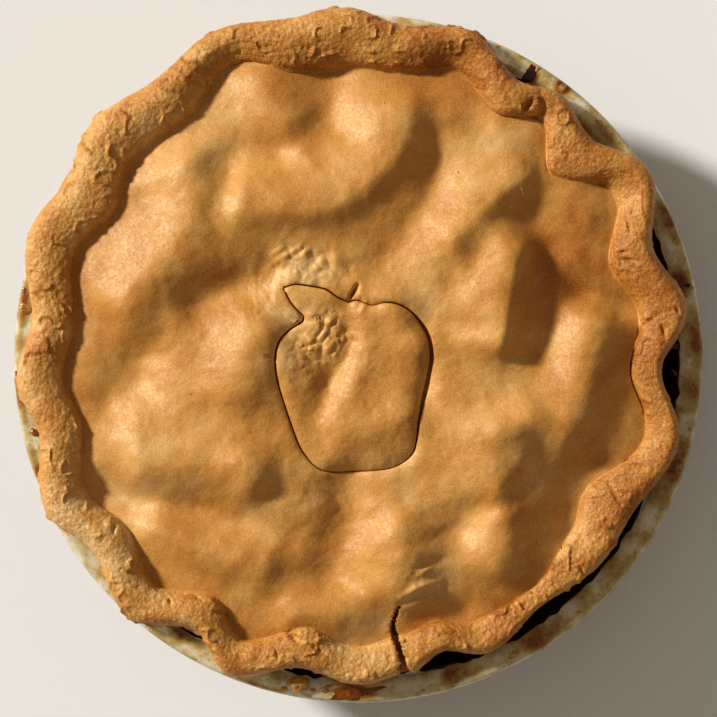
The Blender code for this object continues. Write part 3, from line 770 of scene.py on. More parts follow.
# cracks, pits and ridgelets of the edge: line in mm, half width and height (below 0 is a cut)
EDGE_CRACKS = [
    ([(-89.3, -61.0), (-89.6, -64.0)], 0.5, -1.2), ([(-69.5, -87.4), (-68.4, -90.0)], 0.5, -1.2),
    ([(-60.4, -86.7), (-57.1, -88.5)], 0.6, -1.3), ([(-52.7, -92.2), (-47.9, -94.4)], 0.6, -1.3),
    ([(-25.5, -100.6), (-21.5, -103.2)], 1.1, -2.6),
    ([(-17.8, -104.3), (-12.4, -107.6)], 0.7, -1.5),
    ([(-30.3, -106.1), (-29.2, -109.8)], 0.5, -1.2), ([(95.4, 38.7), (98.0, 38.9)], 0.5, -1.3),
    ([(96.9, 36.5), (100.9, 35.4)], 0.6, -1.6), ([(98.0, 50.8), (99.4, 46.4)], 0.5, -1.3),
    ([(87.0, 66.2), (91.7, 61.4)], 0.5, -1.2), ([(98.0, -37.9), (104.9, -40.1)], 0.6, -1.1),
    ([(91.7, -45.6), (96.1, -54.1)], 0.6, -1.0), ([(80.7, -75.7), (82.6, -79.3)], 0.5, -1.1),
    ([(94.7, 28.4), (98.0, 14.1)], 0.8, 0.7),
    ([(100.2, 2.3), (99.2, -7.1), (104.9, -18.8)], 1.0, -2.3),
    ([(44.5, 94.7), (48.7, 90.0), (56.1, 87.2), (62.2, 87.2), (67.1, 90.0), (67.6, 93.8),
      (66.4, 97.0)], 1.0, -2.2),
    ([(58.0, 92.0), (61.5, 90.0), (65.0, 91.0), (65.5, 94.5)], 1.8, 1.1),
    ([(101.5, 7.8), (105.5, 12.5), (110.0, 16.5)], 1.0, -1.0),
    ([(110.8, 11.9), (111.9, 8.2)], 0.6, -1.3), ([(115.8, 18.8), (117.0, 16.6)], 0.5, -1.1),
    ([(63.7, 94.6), (62.2, 92.6), (60.2, 90.2)], 0.8, -2.2),
    ([(66.8, 87.0), (67.2, 74.3), (68.6, 68.3)], 0.8, -1.2),
]
LINE_POINTS = 40


def line_relief(x, y, lines):
    """Sum of creases and ridgelets: a bell across each line that fades towards its ends."""
    z = np.zeros_like(x)
    for points, width, height in lines:
        line = curve(points, LINE_POINTS)
        centre = line.mean(axis=0)
        reach = np.max(np.hypot(*(line - centre).T)) + 4 * width
        near = np.hypot(x - centre[0], y - centre[1]) < reach
        away = np.hypot(x[near][:, None] - line[:, 0], y[near][:, None] - line[:, 1])
        k = np.argmin(away, axis=1)
        fade = np.sin(np.pi * np.clip(k / (LINE_POINTS - 1), 0.08, 0.92)) ** 0.6
        z[near] += height * fade * np.exp(-(np.min(away, axis=1) / width) ** 2)
    return z


# blisters of the edge: lobe, and spacing, depth and threshold of the short cuts
EDGE_LOBE = 2.7
CUT_SPACING = 4.4
CUT_DEPTH = 1.9
CUT_THRESHOLD = 0.14


def edge_relief(p, depth):
    """Blisters and short cracks of the edge, in mm along the normal: slow lumps, bulged lobes
    that are stronger in some stretches, grit, and cuts where one noise is close to 0 and
    another is high. All of it is lower on the right, where the edge is smooth."""
    much = 0.5 + 0.5 * lattice_noise(p, 13.0, 30)
    x, y = p[..., 0], p[..., 1]
    smooth = np.clip(x / np.maximum(np.hypot(x, y), 1.0) - 0.2, 0.0, 0.8)
    depth = depth * (1.0 - SMOOTH_SIDE * smooth * (y > -60.0))
    z = ripples(p, EDGE_RIPPLES) + (0.5 + 1.3 * much) * (wrinkles(p, EDGE_LOBE, 50) - 0.5)
    cut = np.exp(-(lattice_noise(p, CUT_SPACING, 35) / 0.12) ** 2)
    where = np.clip((lattice_noise(p, 5.0, 36) - CUT_THRESHOLD) / 0.2, 0.0, 1.0)
    z -= CUT_DEPTH * cut * where
    return depth * z


def settle(share, first, last):
    """Smooth step from 0 at first to 1 at last."""
    t = np.clip((share - first) / (last - first), 0.0, 1.0)
    return t * t * (3.0 - 2.0 * t)


# how much what stands proud on the crust browns, and how rough its grain is
CRUST_PROUD = 0.35
CRUST_BUMP = 0.28
# rounded edge of the cut: distance from it and drop below the crust, in mm
CUT_ROUNDING = [(0.0, 2.3), (0.02, 1.6), (0.12, 1.2), (0.35, 0.95), (0.7, 0.74), (1.1, 0.56),
                (1.7, 0.36), (2.5, 0.18), (3.4, 0.06)]


def add_top_crust(settings, finish):
    """Draped sheet from the cut to the foot of the edge, where it dives under the edge."""
    count = settings.crust_columns
    bearing, start, normal = columns(count)
    gap = 0.5 * cut_gap(start)[:, None]
    cut = start + normal * gap
    floor = DISH_HEIGHT + dome_level(start[:, 0], start[:, 1]) - CRUST_THICKNESS - GAP
    middle = np.array(APPLE_MIDDLE)
    middle_floor = DISH_HEIGHT + float(dome_level(*middle)) - CRUST_THICKNESS - GAP
    # each row with how far it belongs to the edge
    rows = []
    for share in (0.3, 0.7, 1.0):
        xy = middle + (cut - middle) * share
        rows.append((np.column_stack([xy, middle_floor + (floor - middle_floor) * share]), 0.0))
    for out, sink in CUT_ROUNDING:
        xy = cut + normal * out
        rows.append((np.column_stack([xy, crust_level(xy[:, 0], xy[:, 1]) - sink]), 0.0))
    a = np.radians(bearing)
    foot = around(bearing, 2)
    rim = np.stack([foot * np.cos(a), foot * np.sin(a)], axis=1)
    first = cut + normal * (CUT_ROUNDING[-1][0] + 0.7)
    for t in np.linspace(0.0, 1.0, settings.crust_rows):
        xy = first + (rim - first) * t
        rows.append((np.column_stack([xy, crust_level(xy[:, 0], xy[:, 1])]), settle(t, 0.9, 1.0)))
    for share, sink in ((0.008, 0.0), (0.016, 0.0), (0.026, 0.0), (0.045, 0.2), (0.09, 2.0)):
        row = edge_surface(bearing[None], np.array([[share]]), settings)[0]
        row[:, 2] -= sink
        rows.append((row, 1.0))
    for radius, rise in ((foot + 2.6, -2.5), (foot - 9.4, -3.0), (45.0, 2.0)):
        rows.append((ring(bearing, radius, DISH_HEIGHT + rise), 1.0))
    rows.reverse()
    grid = np.stack([row for row, _ in rows])
    edge = np.repeat([[share] for _, share in rows], count, axis=1)
    low = (0.0, 0.0, DISH_HEIGHT + 2.0)
    points, quads, tris = shut(grid, low, (*middle, middle_floor))
    relief = fine_relief(grid[..., 0], grid[..., 1])
    marks = pastry_marks(browning(grid, 0.5 * edge, CRUST_PROUD * relief), scorching(grid))
    material = pastry_material("baked_shortcrust_top", finish, CRUST_BUMP)
    return add_piece("pie_top_crust", points, quads, tris, "pie_crust", material,
                     marks)


def edge_surface(bearing, share, settings):
    """Finished surface of the edge: its form plus relief along the normal and listed cracks.
    The relief grows from that of the top crust at the foot; that of a single row is upright."""
    form = edge_form(bearing, share)
    if form.shape[0] > 2:
        n = grid_normals(form)
    else:
        n = np.zeros_like(form)
        n[..., 2] = 1.0
    own = settle(np.broadcast_to(share, form.shape[:2]), 0.0, 0.12)
    x, y = form[..., 0], form[..., 1]
    relief = own * edge_relief(form, settings.blister_height / MM) + (1 - own) * (
        fine_relief(x, y) + line_relief(x, y, FOLDS))
    form = form + n * relief[..., None]
    form[..., 2] += line_relief(x, y, EDGE_CRACKS)
    form[..., 2] = np.maximum(form[..., 2], DISH_HEIGHT + 0.9)
    return form


# the edge's foot: how far it lies over the crust, and the skirt that dives into it, in mm
FOOT_LIFT = 0.03
SKIRT = 1.2
LIP_ROLL = 2.4


def add_fluted_edge(settings, finish):
    """Closed ring: over the crest, round the lip, back along the flange and up inside."""
    count = settings.edge_columns
    bearing = even_bearings(count)
    high = crest_share(bearing)[None]
    inside = np.linspace(0.0, 1.0, INNER_ROWS, endpoint=False)[:, None] ** 1.3
    angle = np.linspace(0.0, 0.5 * np.pi, settings.edge_rows - INNER_ROWS)[:, None]
    share = np.concatenate([EDGE_START + (high - EDGE_START) * inside,
                            high + (1 - high) * np.sin(angle) ** (2 / LIP_POWER)])
    top = edge_surface(bearing[None], share, settings)
    top[0, :, 2] += FOOT_LIFT
    skirt = top[:1] - (0.0, 0.0, SKIRT)
    outer = around(bearing, 1)
    foot = around(bearing, 2)
    reach = np.hypot(top[-1, :, 0], top[-1, :, 1])
    level = top[-1, :, 2] - DISH_HEIGHT
    rows = []
    for psi in np.radians((15, 30, 45, 60, 75, 90)):
        rows.append(ring(bearing, reach - LIP_ROLL * (1 - np.cos(psi)),
                         DISH_HEIGHT + FLANGE_REST + (level - FLANGE_REST) * (1 - np.sin(psi))))
    wall = wall_radius(DISH_HEIGHT - 2.6) - GAP
    low_wall = wall_radius(DISH_HEIGHT - 9.0) - GAP
    rows.append(ring(bearing, np.minimum(WALL_TOP_RADIUS + 0.6, reach - 2.9),
                     DISH_HEIGHT + FLANGE_REST))
    rows.append(ring(bearing, np.minimum(wall, outer - 3.1), DISH_HEIGHT - 2.6))
    rows.append(ring(bearing, np.minimum(low_wall, outer - 3.6), DISH_HEIGHT - 9.0))
    rows.append(ring(bearing, np.minimum(low_wall, outer - 3.6) - 4.0, DISH_HEIGHT - 10.0))
    rows.append(ring(bearing, foot - 1.5, DISH_HEIGHT - 5.0))
    grid = np.concatenate([skirt, top, np.stack(rows)])[::-1]
    points = grid.reshape(-1, 3)
    quads = grid_faces(len(grid), count)
    i = np.arange(count)
    j = (i + 1) % count
    last = (len(grid) - 1) * count
    quads = np.vstack([quads, np.stack([last + i, last + j, j, i], axis=1)])
    proud = edge_relief(grid, 1.0)
    edge = np.ones(grid.shape[:2])
    edge[-len(top) - 1:-1] = settle(share, 0.0, 0.3)[::-1]
    pale_side = 0.04 + 0.11 * np.cos(np.radians(bearing - PALE_BEARING))
    # relief negated: the low places of the edge come out darker, painted shade, partly real
    # browning in its cracks
    browned = browning(grid, 0.3 + 0.4 * edge, -0.42 * proud) - pale_side
    marks = pastry_marks(browned, scorching(grid), ())
    material = pastry_material("baked_shortcrust_edge", finish, 0.75, 0.75, 0.55)
    return add_piece("pie_fluted_edge", points, quads, [], "pie_crust", material,
                     marks)


BASE_COLUMNS = 360
# how much paler the bottom crust is made: painted light, standing in for the light that would reach
# it through the glass
BASE_PALER = 0.22


def add_base(settings, finish):
    """Bottom crust against the glass: a turned body as wide as the plate's inside, less a
    hair, with a shallow relief; its top is hidden under the top crust."""
    bearing = even_bearings(BASE_COLUMNS)
    outer = around(bearing, 1)
    h = DISH_HEIGHT
    low_wall = np.minimum(wall_radius(h - 9.0) - GAP, outer - 3.6)
    levels = np.linspace(BASE_GLASS + 4.3, h - 17.0, 18)
    rows = [ring(bearing, r, BASE_GLASS + GAP) for r in (25.0, 50.0, 75.0)]
    rows.append(ring(bearing, wall_radius(BASE_GLASS) - 4.6, BASE_GLASS + GAP + 0.2))
    rows.append(ring(bearing, wall_radius(BASE_GLASS) - 1.9, BASE_GLASS + GAP + 1.7))
    for z in levels:
        rows.append(ring(bearing, wall_radius(z) - GAP - 0.15, z))
    high = wall_radius(h - 17.0) - GAP - 0.15
    for t in (0.25, 0.5, 0.75, 1.0):
        rows.append(ring(bearing, high + (low_wall - high) * t, h - 17.0 + 8.0 * t))
    rows.append(ring(bearing, low_wall - 6.0, h - 7.5))
    rows.append(ring(bearing, 60.0, h - 7.5))
    grid = np.stack(rows)
    dent = np.clip(ripples(grid, BASE_DENTS), -1.0, 0.0)
    inward = grid.copy()
    inward[..., 2] = 0.0
    inward /= np.maximum(np.linalg.norm(inward, axis=-1, keepdims=True), 1e-6)
    wall = np.zeros(len(rows))
    wall[4:-2] = 1.0
    grid = grid + inward * (dent * wall[:, None])[..., None] * 0.9
    points, quads, tris = shut(grid, (0.0, 0.0, BASE_GLASS + GAP), (0.0, 0.0, h - 7.5))
    # paler by BASE_PALER: painted light
    browned = browning(grid, 0.0, 0.4 * dent) - BASE_PALER
    marks = pastry_marks(browned, np.zeros_like(browned))
    material = pastry_material("baked_shortcrust_base", finish, 0.3)
    return add_piece("pie_base_crust", points, quads, tris, "pie_crust", material,
                     marks)


def add_apple(settings, finish):
    """Pastry apple and leaf: the same surface as the crust round it, cut off along its outline
    with a soft upper edge, and shrunk in rings to its middle."""
    count = settings.crust_columns
    _, start, normal = columns(count)
    edge = start - normal * 0.5 * cut_gap(start)[:, None]
    under = DISH_HEIGHT + dome_level(start[:, 0], start[:, 1]) - CRUST_THICKNESS
    middle = np.array(APPLE_MIDDLE)
    # the rows keep closer to the outline at the leaf's tip, where they would cross
    near_tip = 0.25 + 0.75 * settle(np.hypot(*(edge - LEAF_TIP).T), 1.0, 7.0)
    rows = [np.column_stack([edge - normal * 0.25, under]),
            np.column_stack([edge, under + 0.7])]
    for inset, sink in CUT_ROUNDING:
        xy = edge - normal * inset * near_tip[:, None]
        rows.append(np.column_stack([xy, crust_level(xy[:, 0], xy[:, 1]) - sink]))
    inner = edge - normal * (CUT_ROUNDING[-1][0] + 0.7) * near_tip[:, None]
    for share in np.linspace(1.0, 0.012, settings.apple_rings):
        xy = middle + (inner - middle) * share
        rows.append(np.column_stack([xy, crust_level(xy[:, 0], xy[:, 1])]))
    grid = np.stack(rows)
    low = DISH_HEIGHT + float(dome_level(*middle)) - CRUST_THICKNESS
    high = float(crust_level(np.array([[middle[0]]]), np.array([[middle[1]]]))[0, 0])
    points, quads, tris = shut(grid, (*middle, low), (*middle, high))
    relief = fine_relief(grid[..., 0], grid[..., 1])
    browned = browning(grid, 0.0, CRUST_PROUD * relief)
    marks = pastry_marks(browned, scorching(grid), (MIDDLE_TONE, browned[-1, 0]))
    material = pastry_material("baked_shortcrust_cutout", finish, CRUST_BUMP)
    return add_piece("apple_cutout_pastry", points, quads, tris,
                     "apple_cutout", material, marks)


# ---------------------------------------------------------------- glass plate and spills

# stains on the flange: bearing, radius, half width in degrees, half depth in mm, strength
STAINS = [
    (42, 124, 6, 5, 0.62), (53, 125, 2, 4, 0.85), (58.5, 122, 1.6, 4, 0.85),
    (74, 126, 8, 3, 0.45), (126, 127, 2, 2, 0.8), (150, 126, 14, 2, 0.55),
    (172, 124.5, 6, 4, 0.62), (186, 125, 9, 4, 0.6), (200, 125, 8, 3, 0.58),
    (238, 121, 7, 5, 0.55), (250, 126, 8, 3, 0.5), (269, 123, 5, 4, 0.85),
    (287, 122, 4, 5, 0.68), (303, 122, 9, 6, 0.62), (322, 124, 5, 3, 0.45),
    (342, 124, 9, 5, 0.66), (354, 123, 7, 7, 0.58), (3, 124, 7, 7, 0.62),
    (13, 122, 4, 5, 0.7), (24, 125, 8, 6, 0.58), (33, 127, 4, 3, 0.5),
]


def corner_cut(profile, times):
    """Rounds a profile: each side keeps its middle half, again and again."""
    line = np.array(profile, float)
    for _ in range(times):
        before = 0.75 * line[:-1] + 0.25 * line[1:]
        after = 0.25 * line[:-1] + 0.75 * line[1:]
        line = np.vstack([line[:1], np.stack([before, after], 1).reshape(-1, 2), line[-1:]])
    return line


def flange_level(radius):
    """Height of the flange's upper face, with the two raised lines of its bead."""
    keys = [WALL_TOP_RADIUS, WALL_TOP_RADIUS + 1.0, WALL_TOP_RADIUS + 2.6, RIM_RADIUS - 3.2,
            RIM_RADIUS - 1.8, RIM_RADIUS - 0.7, RIM_RADIUS]
    drops = [1.6, 0.55, 0.2, 0.25, 0.0, 0.3, 1.7]
    return DISH_HEIGHT - np.interp(radius, keys, drops)


def add_dish(settings, finish):
    """Turned body: outer profile up the wall and under the flange, then over the bead and
    down the inside, its corners rounded by corner cutting."""
    h = DISH_HEIGHT
    out = wall_radius(h - FLANGE_GLASS) + WALL_GLASS
    foot = wall_radius(BASE_GLASS) - 1.0
    under = [(foot - 60.0, 0.0), (foot - 4.0, 0.0), (foot - 0.8, 0.9), (foot + 1.6, 3.4),
             (out, h - FLANGE_GLASS - 1.2), (out + 1.4, h - FLANGE_GLASS),
             (RIM_RADIUS - 1.6, h - FLANGE_GLASS), (RIM_RADIUS - 0.2, h - 3.2),
             (RIM_RADIUS, h - 1.7)]
    over = [(RIM_RADIUS, h - 1.7), (RIM_RADIUS - 0.7, h - 0.3), (RIM_RADIUS - 1.8, h),
            (RIM_RADIUS - 3.2, h - 0.25)]
    inside = [(WALL_TOP_RADIUS + 2.6, h - 0.2), (WALL_TOP_RADIUS + 1.0, h - 0.55),
              (WALL_TOP_RADIUS, h - 1.6), (wall_radius(BASE_GLASS + 4.0), BASE_GLASS + 4.0),
              (wall_radius(BASE_GLASS) - 0.9, BASE_GLASS + 1.5),
              (wall_radius(BASE_GLASS) - 4.2, BASE_GLASS + 0.1),
              (BASE_INNER_RADIUS - 7.0, BASE_GLASS), (40.0, BASE_GLASS)]
    flat = np.linspace(RIM_RADIUS - 3.6, WALL_TOP_RADIUS + 3.0, 9)
    profile = np.vstack([corner_cut(under, 2), corner_cut(over, 2)[1:],
                         np.column_stack([flat, flange_level(flat)]), corner_cut(inside, 2)])
    bearing = even_bearings(settings.glass_columns)
    grid = np.stack([ring(bearing, r, z) for r, z in profile])
    points, quads, tris = shut(grid, (0.0, 0.0, 0.0), (0.0, 0.0, BASE_GLASS))
    radius = np.hypot(grid[..., 0], grid[..., 1])
    stain = np.full(radius.shape, FILM_STAIN)
    for at, where, wide, deep, strength in STAINS:
        turn = np.mod(bearing - at + 180.0, 360.0) - 180.0
        blot = np.exp(-((turn / wide) ** 2)[None] - ((radius - where) / deep) ** 2)
        stain = np.maximum(stain, strength * blot)
    top = grid[..., 2] > h - 2.0
    marks = {"stain": np.append(np.where(top, stain, 0.0).ravel(), [0.0, 0.0])}
    return add_piece("pie_dish_glass", points, quads, tris, "pie_dish",
                     glass_material(finish), marks)


# spills that stand up from the flange: bearing, radius, half length, half width and height in
# mm, turn in degrees from the tangent, and the kind
SPILLS = [
    (59.0, 122.0, 4.4, 1.9, 0.45, 80, "burnt"), (53.2, 124.5, 2.8, 1.2, 0.35, 70, "amber"),
    (58.2, 126.0, 1.8, 0.8, 0.3, 90, "amber"), (44.0, 124.5, 2.4, 1.2, 0.25, 15, "amber"),
    (126.0, 126.2, 2.6, 1.3, 1.1, 0, "jelly"), (171.5, 124.0, 3.2, 1.6, 0.6, 80, "amber"),
    (168.5, 126.0, 1.5, 1.0, 0.5, 20, "amber"), (183.0, 126.2, 2.0, 0.8, 0.5, 5, "burnt"),
    (193.0, 121.8, 2.4, 1.5, 1.2, 60, "jelly"), (268.2, 124.0, 6.2, 2.2, 0.6, 3, "jelly"),
    (265.0, 122.0, 3.4, 1.4, 0.5, 30, "amber"), (272.8, 122.0, 4.4, 0.8, 0.4, 12, "jelly"),
    (287.5, 122.5, 3.6, 1.5, 0.25, 30, "amber"), (298.0, 123.0, 3.0, 1.2, 0.25, 12, "amber"),
    (341.0, 124.8, 2.6, 1.0, 0.25, 8, "amber"), (12.5, 124.5, 1.2, 0.9, 0.5, 40, "burnt"),
    (2.4, 115.6, 3.4, 1.5, 1.2, 80, "burnt"), (357.5, 116.6, 1.6, 0.9, 0.7, 60, "burnt"),
]
SPILL_POINTS = 48
SPILL_RINGS = 12
SPILL_SEED = 500


def add_spills(settings, finish):
    """Each spill is a lens with a wavy outline: height times the root of one less the share
    of its reach squared, laid on the flange and sunk a hair into it."""
    kinds = {
        "amber": juice_material("caramelised_apple_juice", tuple(finish.juice),
                                tuple(finish.grease), 0.22),
        "jelly": juice_material("baked_apple_jelly", tuple(finish.jelly),
                                tuple(finish.juice), 0.2),
        "burnt": juice_material("burnt_apple_juice", tuple(finish.burnt_juice),
                                tuple(finish.jelly), 0.35),
    }
    phi = np.radians(even_bearings(SPILL_POINTS))
    made = []
    for index, (bearing, radius, long, wide, height, turn, kind) in enumerate(SPILLS):
        draw = np.random.default_rng(SPILL_SEED + index)
        wave = 1 + sum(draw.uniform(0.3, 0.9) / (k + 2) * np.sin(k * phi + draw.uniform(0, 6.28))
                       for k in (2, 3, 5, 7, 11))
        a = math.radians(bearing)
        t = a + 0.5 * math.pi + math.radians(turn)
        rows = []
        for share in np.linspace(1.0, 0.06, SPILL_RINGS):
            u = share * wave * long * np.cos(phi)
            v = share * wave * wide * np.sin(phi)
            x = radius * math.cos(a) + u * math.cos(t) - v * math.sin(t)
            y = radius * math.sin(a) + u * math.sin(t) + v * math.cos(t)
            far = np.hypot(x, y)
            keep = np.minimum(far, RIM_RADIUS - 0.3) / far
            x, y = x * keep, y * keep
            far = far * keep
            rest = np.where(far > WALL_TOP_RADIUS, flange_level(far), DISH_HEIGHT - 1.6)
            rows.append(np.column_stack([x, y, rest - 0.1 + height * math.sqrt(1 - share ** 2)]))
        grid = np.stack([rows[0] - (0, 0, 0.25)] + rows)
        centre = grid[-1].mean(axis=0)
        points, quads, tris = shut(grid, centre - (0, 0, height + 0.2),
                                   centre + (0, 0, 0.02))
        made.append(add_piece(f"spill_{kind}_{index:02d}", points, quads, tris,
                              None, kinds[kind]))
    return made


# stretches where the edge drew back from the glass, in degrees: there a dark coat fills the gap,
# painted shade, partly juice that burnt on in it
GAPS_OF_SHADE_AND_JUICE = [(233.0, 244.0), (255.0, 265.5), (277.0, 337.0), (348.5, 365.5), (374.0, 386.0),
              (399.5, 407.0), (415.0, 424.0)]
COAT = 0.3


def add_gap_shade_and_juice(settings, finish):
    """Dark coats in the gaps, painted shade and partly burnt juice: a profile that runs over the
    ledge of the bottom crust, up the glass and onto the flange, carried round the gap, as thick as
    COAT and thinning to its ends."""
    h = DISH_HEIGHT
    material = juice_material("painted_shade_and_burnt_juice", tuple(finish.burnt_juice),
                              tuple(finish.burnt_juice), 0.45)
    made = []
    for index, (first, last) in enumerate(GAPS_OF_SHADE_AND_JUICE):
        bearing = np.radians(np.linspace(first, last, int(3 * (last - first)) + 2))
        low = wall_radius(h - 11.0) - 0.2
        path = [(low - 7.0, h - 9.2), (low - 0.4, h - 9.4), (wall_radius(h - 8.0) - 0.1, h - 8.0),
                (wall_radius(h - 3.0) - 0.1, h - 3.0), (WALL_TOP_RADIUS - 0.2, h - 1.6),
                (WALL_TOP_RADIUS + 0.3, h - 1.15), (WALL_TOP_RADIUS + 0.7, h - 0.75)]
        path = curve(path, 26)
        along = np.gradient(path, axis=0)
        along /= np.linalg.norm(along, axis=1)[:, None]
        inward = np.stack([-along[:, 1], along[:, 0]], axis=1)
        t = np.linspace(-1.0, 1.0, len(path))
        loop = np.concatenate([path - 0.05 * inward, path[::-1] + inward[::-1]
                               * (COAT * (1 - t[::-1] ** 4))[:, None]])
        share = np.concatenate([t, t[::-1]])
        ends = np.linspace(-1.0, 1.0, len(bearing))
        full = (1 - ends ** 4)[:, None]
        noise = lattice_noise(np.stack([bearing * 40.0, 0 * bearing, 0 * bearing], -1), 1.0, 71)
        shift = 0.5 * noise[:, None] * np.clip(share - 0.6, 0, 1) / 0.4
        radius = loop[None, :, 0] + shift - 2.5 * (1 - full) * np.clip(share - 0.2, 0, 1)
        level = np.where(radius > WALL_TOP_RADIUS, flange_level(radius) + 0.02 +
                         0.12 * (1 - share ** 4), loop[None, :, 1])
        grid = np.stack([radius * np.cos(bearing)[:, None], radius * np.sin(bearing)[:, None],
                         level], axis=-1)
        points, quads, tris = shut(grid, grid[0].mean(axis=0), grid[-1].mean(axis=0))
        made.append(add_piece(f"shade_and_juice_coat_{index:02d}", points, quads, tris, None,
                              material))
    return made


# crumbs: bearing, radius and size in mm
CRUMBS = [
    (259.6, 122.0, 3.0), (257.4, 124.6, 0.9), (262.2, 123.4, 0.7), (232.0, 124.8, 0.6),
    (209.0, 126.0, 0.5), (281.0, 124.6, 0.6), (348.0, 125.0, 0.6), (12.0, 125.4, 0.7),
    (66.0, 126.0, 0.5), (155.0, 126.4, 0.6), (311.0, 123.8, 0.6), (325.0, 124.6, 0.5),
]
CRUMB_POINTS = 20
CRUMB_ROWS = 11
CRUMB_SINK = 0.45
CRUMB_TONE = 0.42
CRUMB_STRETCH = (1.25, 0.9, 0.65)


def add_crumbs(settings, finish):
    """Pastry crumbs on the flange: small balls whose radius varies with noise."""
    material = pastry_material("baked_shortcrust_crumb", finish, 0.4)
    phi = np.radians(even_bearings(CRUMB_POINTS))
    made = []
    for index, (bearing, radius, size) in enumerate(CRUMBS):
        a = math.radians(bearing)
        far = min(radius, RIM_RADIUS - size)
        centre = np.array([far * math.cos(a), far * math.sin(a),
                           float(flange_level(far)) + (1 - CRUMB_SINK) * size])
        theta = np.linspace(-1.35, 1.35, CRUMB_ROWS)[:, None]
        unit = np.stack([np.cos(theta) * np.cos(phi), np.cos(theta) * np.sin(phi),
                         np.sin(theta) * np.ones_like(phi)], axis=-1)
        rough = 1 + 0.35 * lattice_noise(unit * 2.0 + index * 7.3, 1.0, 61)
        rough += 0.15 * lattice_noise(unit * 5.0 + index * 3.1, 1.0, 62)
        stretch = np.array(CRUMB_STRETCH) * size
        grid = centre + unit * rough[..., None] * stretch
        points, quads, tris = shut(grid, centre - (0, 0, stretch[2]), centre + (0, 0, stretch[2]))
        marks = pastry_marks(np.full(len(points), CRUMB_TONE), np.zeros(len(points)), ())
        made.append(add_piece(f"crumb_{index:02d}", points, quads, tris, None,
                              material, marks))
    return made


# ---------------------------------------------------------------- stage

PHOTO_WIDTH = 717
RIM_ACROSS_PIXELS = 689.4
SENSOR = 36.0
FLOOR_HALF = 3.0
FLOOR_DROP = 0.0004


def add_stage(stage):
    """Pale floor, a low warm key light, an even fill and the camera straight above."""
    scene = bpy.context.scene
    mesh = bpy.data.meshes.new("floor")
    corners = ((-1, -1), (1, -1), (1, 1), (-1, 1))
    mesh.from_pydata([(x * FLOOR_HALF, y * FLOOR_HALF, -FLOOR_DROP) for x, y in corners], [],
                     [(0, 1, 2, 3)])
    floor = bpy.data.objects.new("floor", mesh)
    scene.collection.objects.link(floor)
    made, _, shader = new_material("pale_matt_card")
    shader.inputs["Base Color"].default_value = tuple(stage.floor)
    shader.inputs["Roughness"].default_value = 0.9
    mesh.materials.append(made)

    lamp = bpy.data.lights.new("key", "SUN")
    lamp.energy = stage.key_strength
    lamp.angle = stage.key_softness
    lamp.color = tuple(stage.key_colour)[:3]
    key = bpy.data.objects.new("key", lamp)
    right_angle = 0.5 * math.pi
    key.rotation_euler = (right_angle - stage.key_elevation, 0.0,
                          stage.key_azimuth + right_angle)
    scene.collection.objects.link(key)

    world = bpy.data.worlds.new("fill")
    world.use_nodes = True
    sky = world.node_tree.nodes["Background"]
    sky.inputs["Color"].default_value = tuple(stage.fill_colour)
    sky.inputs["Strength"].default_value = stage.fill_strength
    scene.world = world

    scene.view_settings.view_transform = "Standard"
    scene.view_settings.look = "Medium High Contrast"
    camera = bpy.data.cameras.new("camera")
    camera.sensor_width = SENSOR
    frame_width = 2 * RIM_RADIUS * MM * PHOTO_WIDTH / RIM_ACROSS_PIXELS
    camera.lens = SENSOR * stage.camera_height / frame_width
    camera.clip_start = 0.05
    eye = bpy.data.objects.new("camera", camera)
    eye.location = (0.0, 0.0, DISH_HEIGHT * MM + stage.camera_height)
    scene.collection.objects.link(eye)
    scene.camera = eye


# ---------------------------------------------------------------- add-on

def colour_property(name, description, code):
    """Colour setting whose default is an sRGB hex value."""
    return bpy.props.FloatVectorProperty(name=name, description=description, subtype="COLOR",
                                         size=4, min=0.0, max=1.0, default=linear(code))


class PieShape(bpy.types.PropertyGroup):
    """Sizes of the baked relief and fineness of the meshes."""
    blister_height: bpy.props.FloatProperty(
        name="Edge blisters", description="Height of the blisters on the fluted edge",
        default=0.42 * MM, min=0.0, max=0.002, unit="LENGTH", subtype="DISTANCE")
    crust_columns: bpy.props.IntProperty(
        name="Crust columns", description="Points round the top crust", default=704, min=64)
    crust_rows: bpy.props.IntProperty(
        name="Crust rows", description="Rows from the cut to the edge", default=104, min=8)
    edge_columns: bpy.props.IntProperty(
        name="Edge columns", description="Points round the fluted edge", default=1408, min=64)
    edge_rows: bpy.props.IntProperty(
        name="Edge rows", description="Rows from foot to lip", default=58, min=8)
    apple_rings: bpy.props.IntProperty(
        name="Apple rings", description="Rings from the apple's outline to its middle",
        default=76, min=8)
    glass_columns: bpy.props.IntProperty(
        name="Glass columns", description="Points round the plate", default=720, min=64)


class PieFinish(bpy.types.PropertyGroup):
    """Colours of pastry, glass and spills."""
    floury: colour_property("Floury", "Palest pastry", "#DFC497")
    golden: colour_property("Golden", "Golden pastry", "#C99851")
    brown: colour_property("Brown", "Well baked pastry", "#A86A24")
    dark_brown: colour_property("Dark brown", "Darkest blisters", "#6C3A11")
    scorched: colour_property("Scorched", "Burnt dots", "#2B1508")
    clear_glass: colour_property("Clear glass", "Clean pressed glass, faintly green", "#F8FBF7")
    glass: colour_property("Milky glass", "Glass under its baked-on film", "#E8E4D0")
    grease: colour_property("Grease", "Thin yellow film on the glass", "#BFAA6C")
    juice: colour_property("Juice", "Amber juice", "#935714")
    jelly: colour_property("Jelly", "Red-brown jelly", "#5A260A")
    burnt_juice: colour_property("Burnt juice", "Black burnt juice", "#1C0D06")


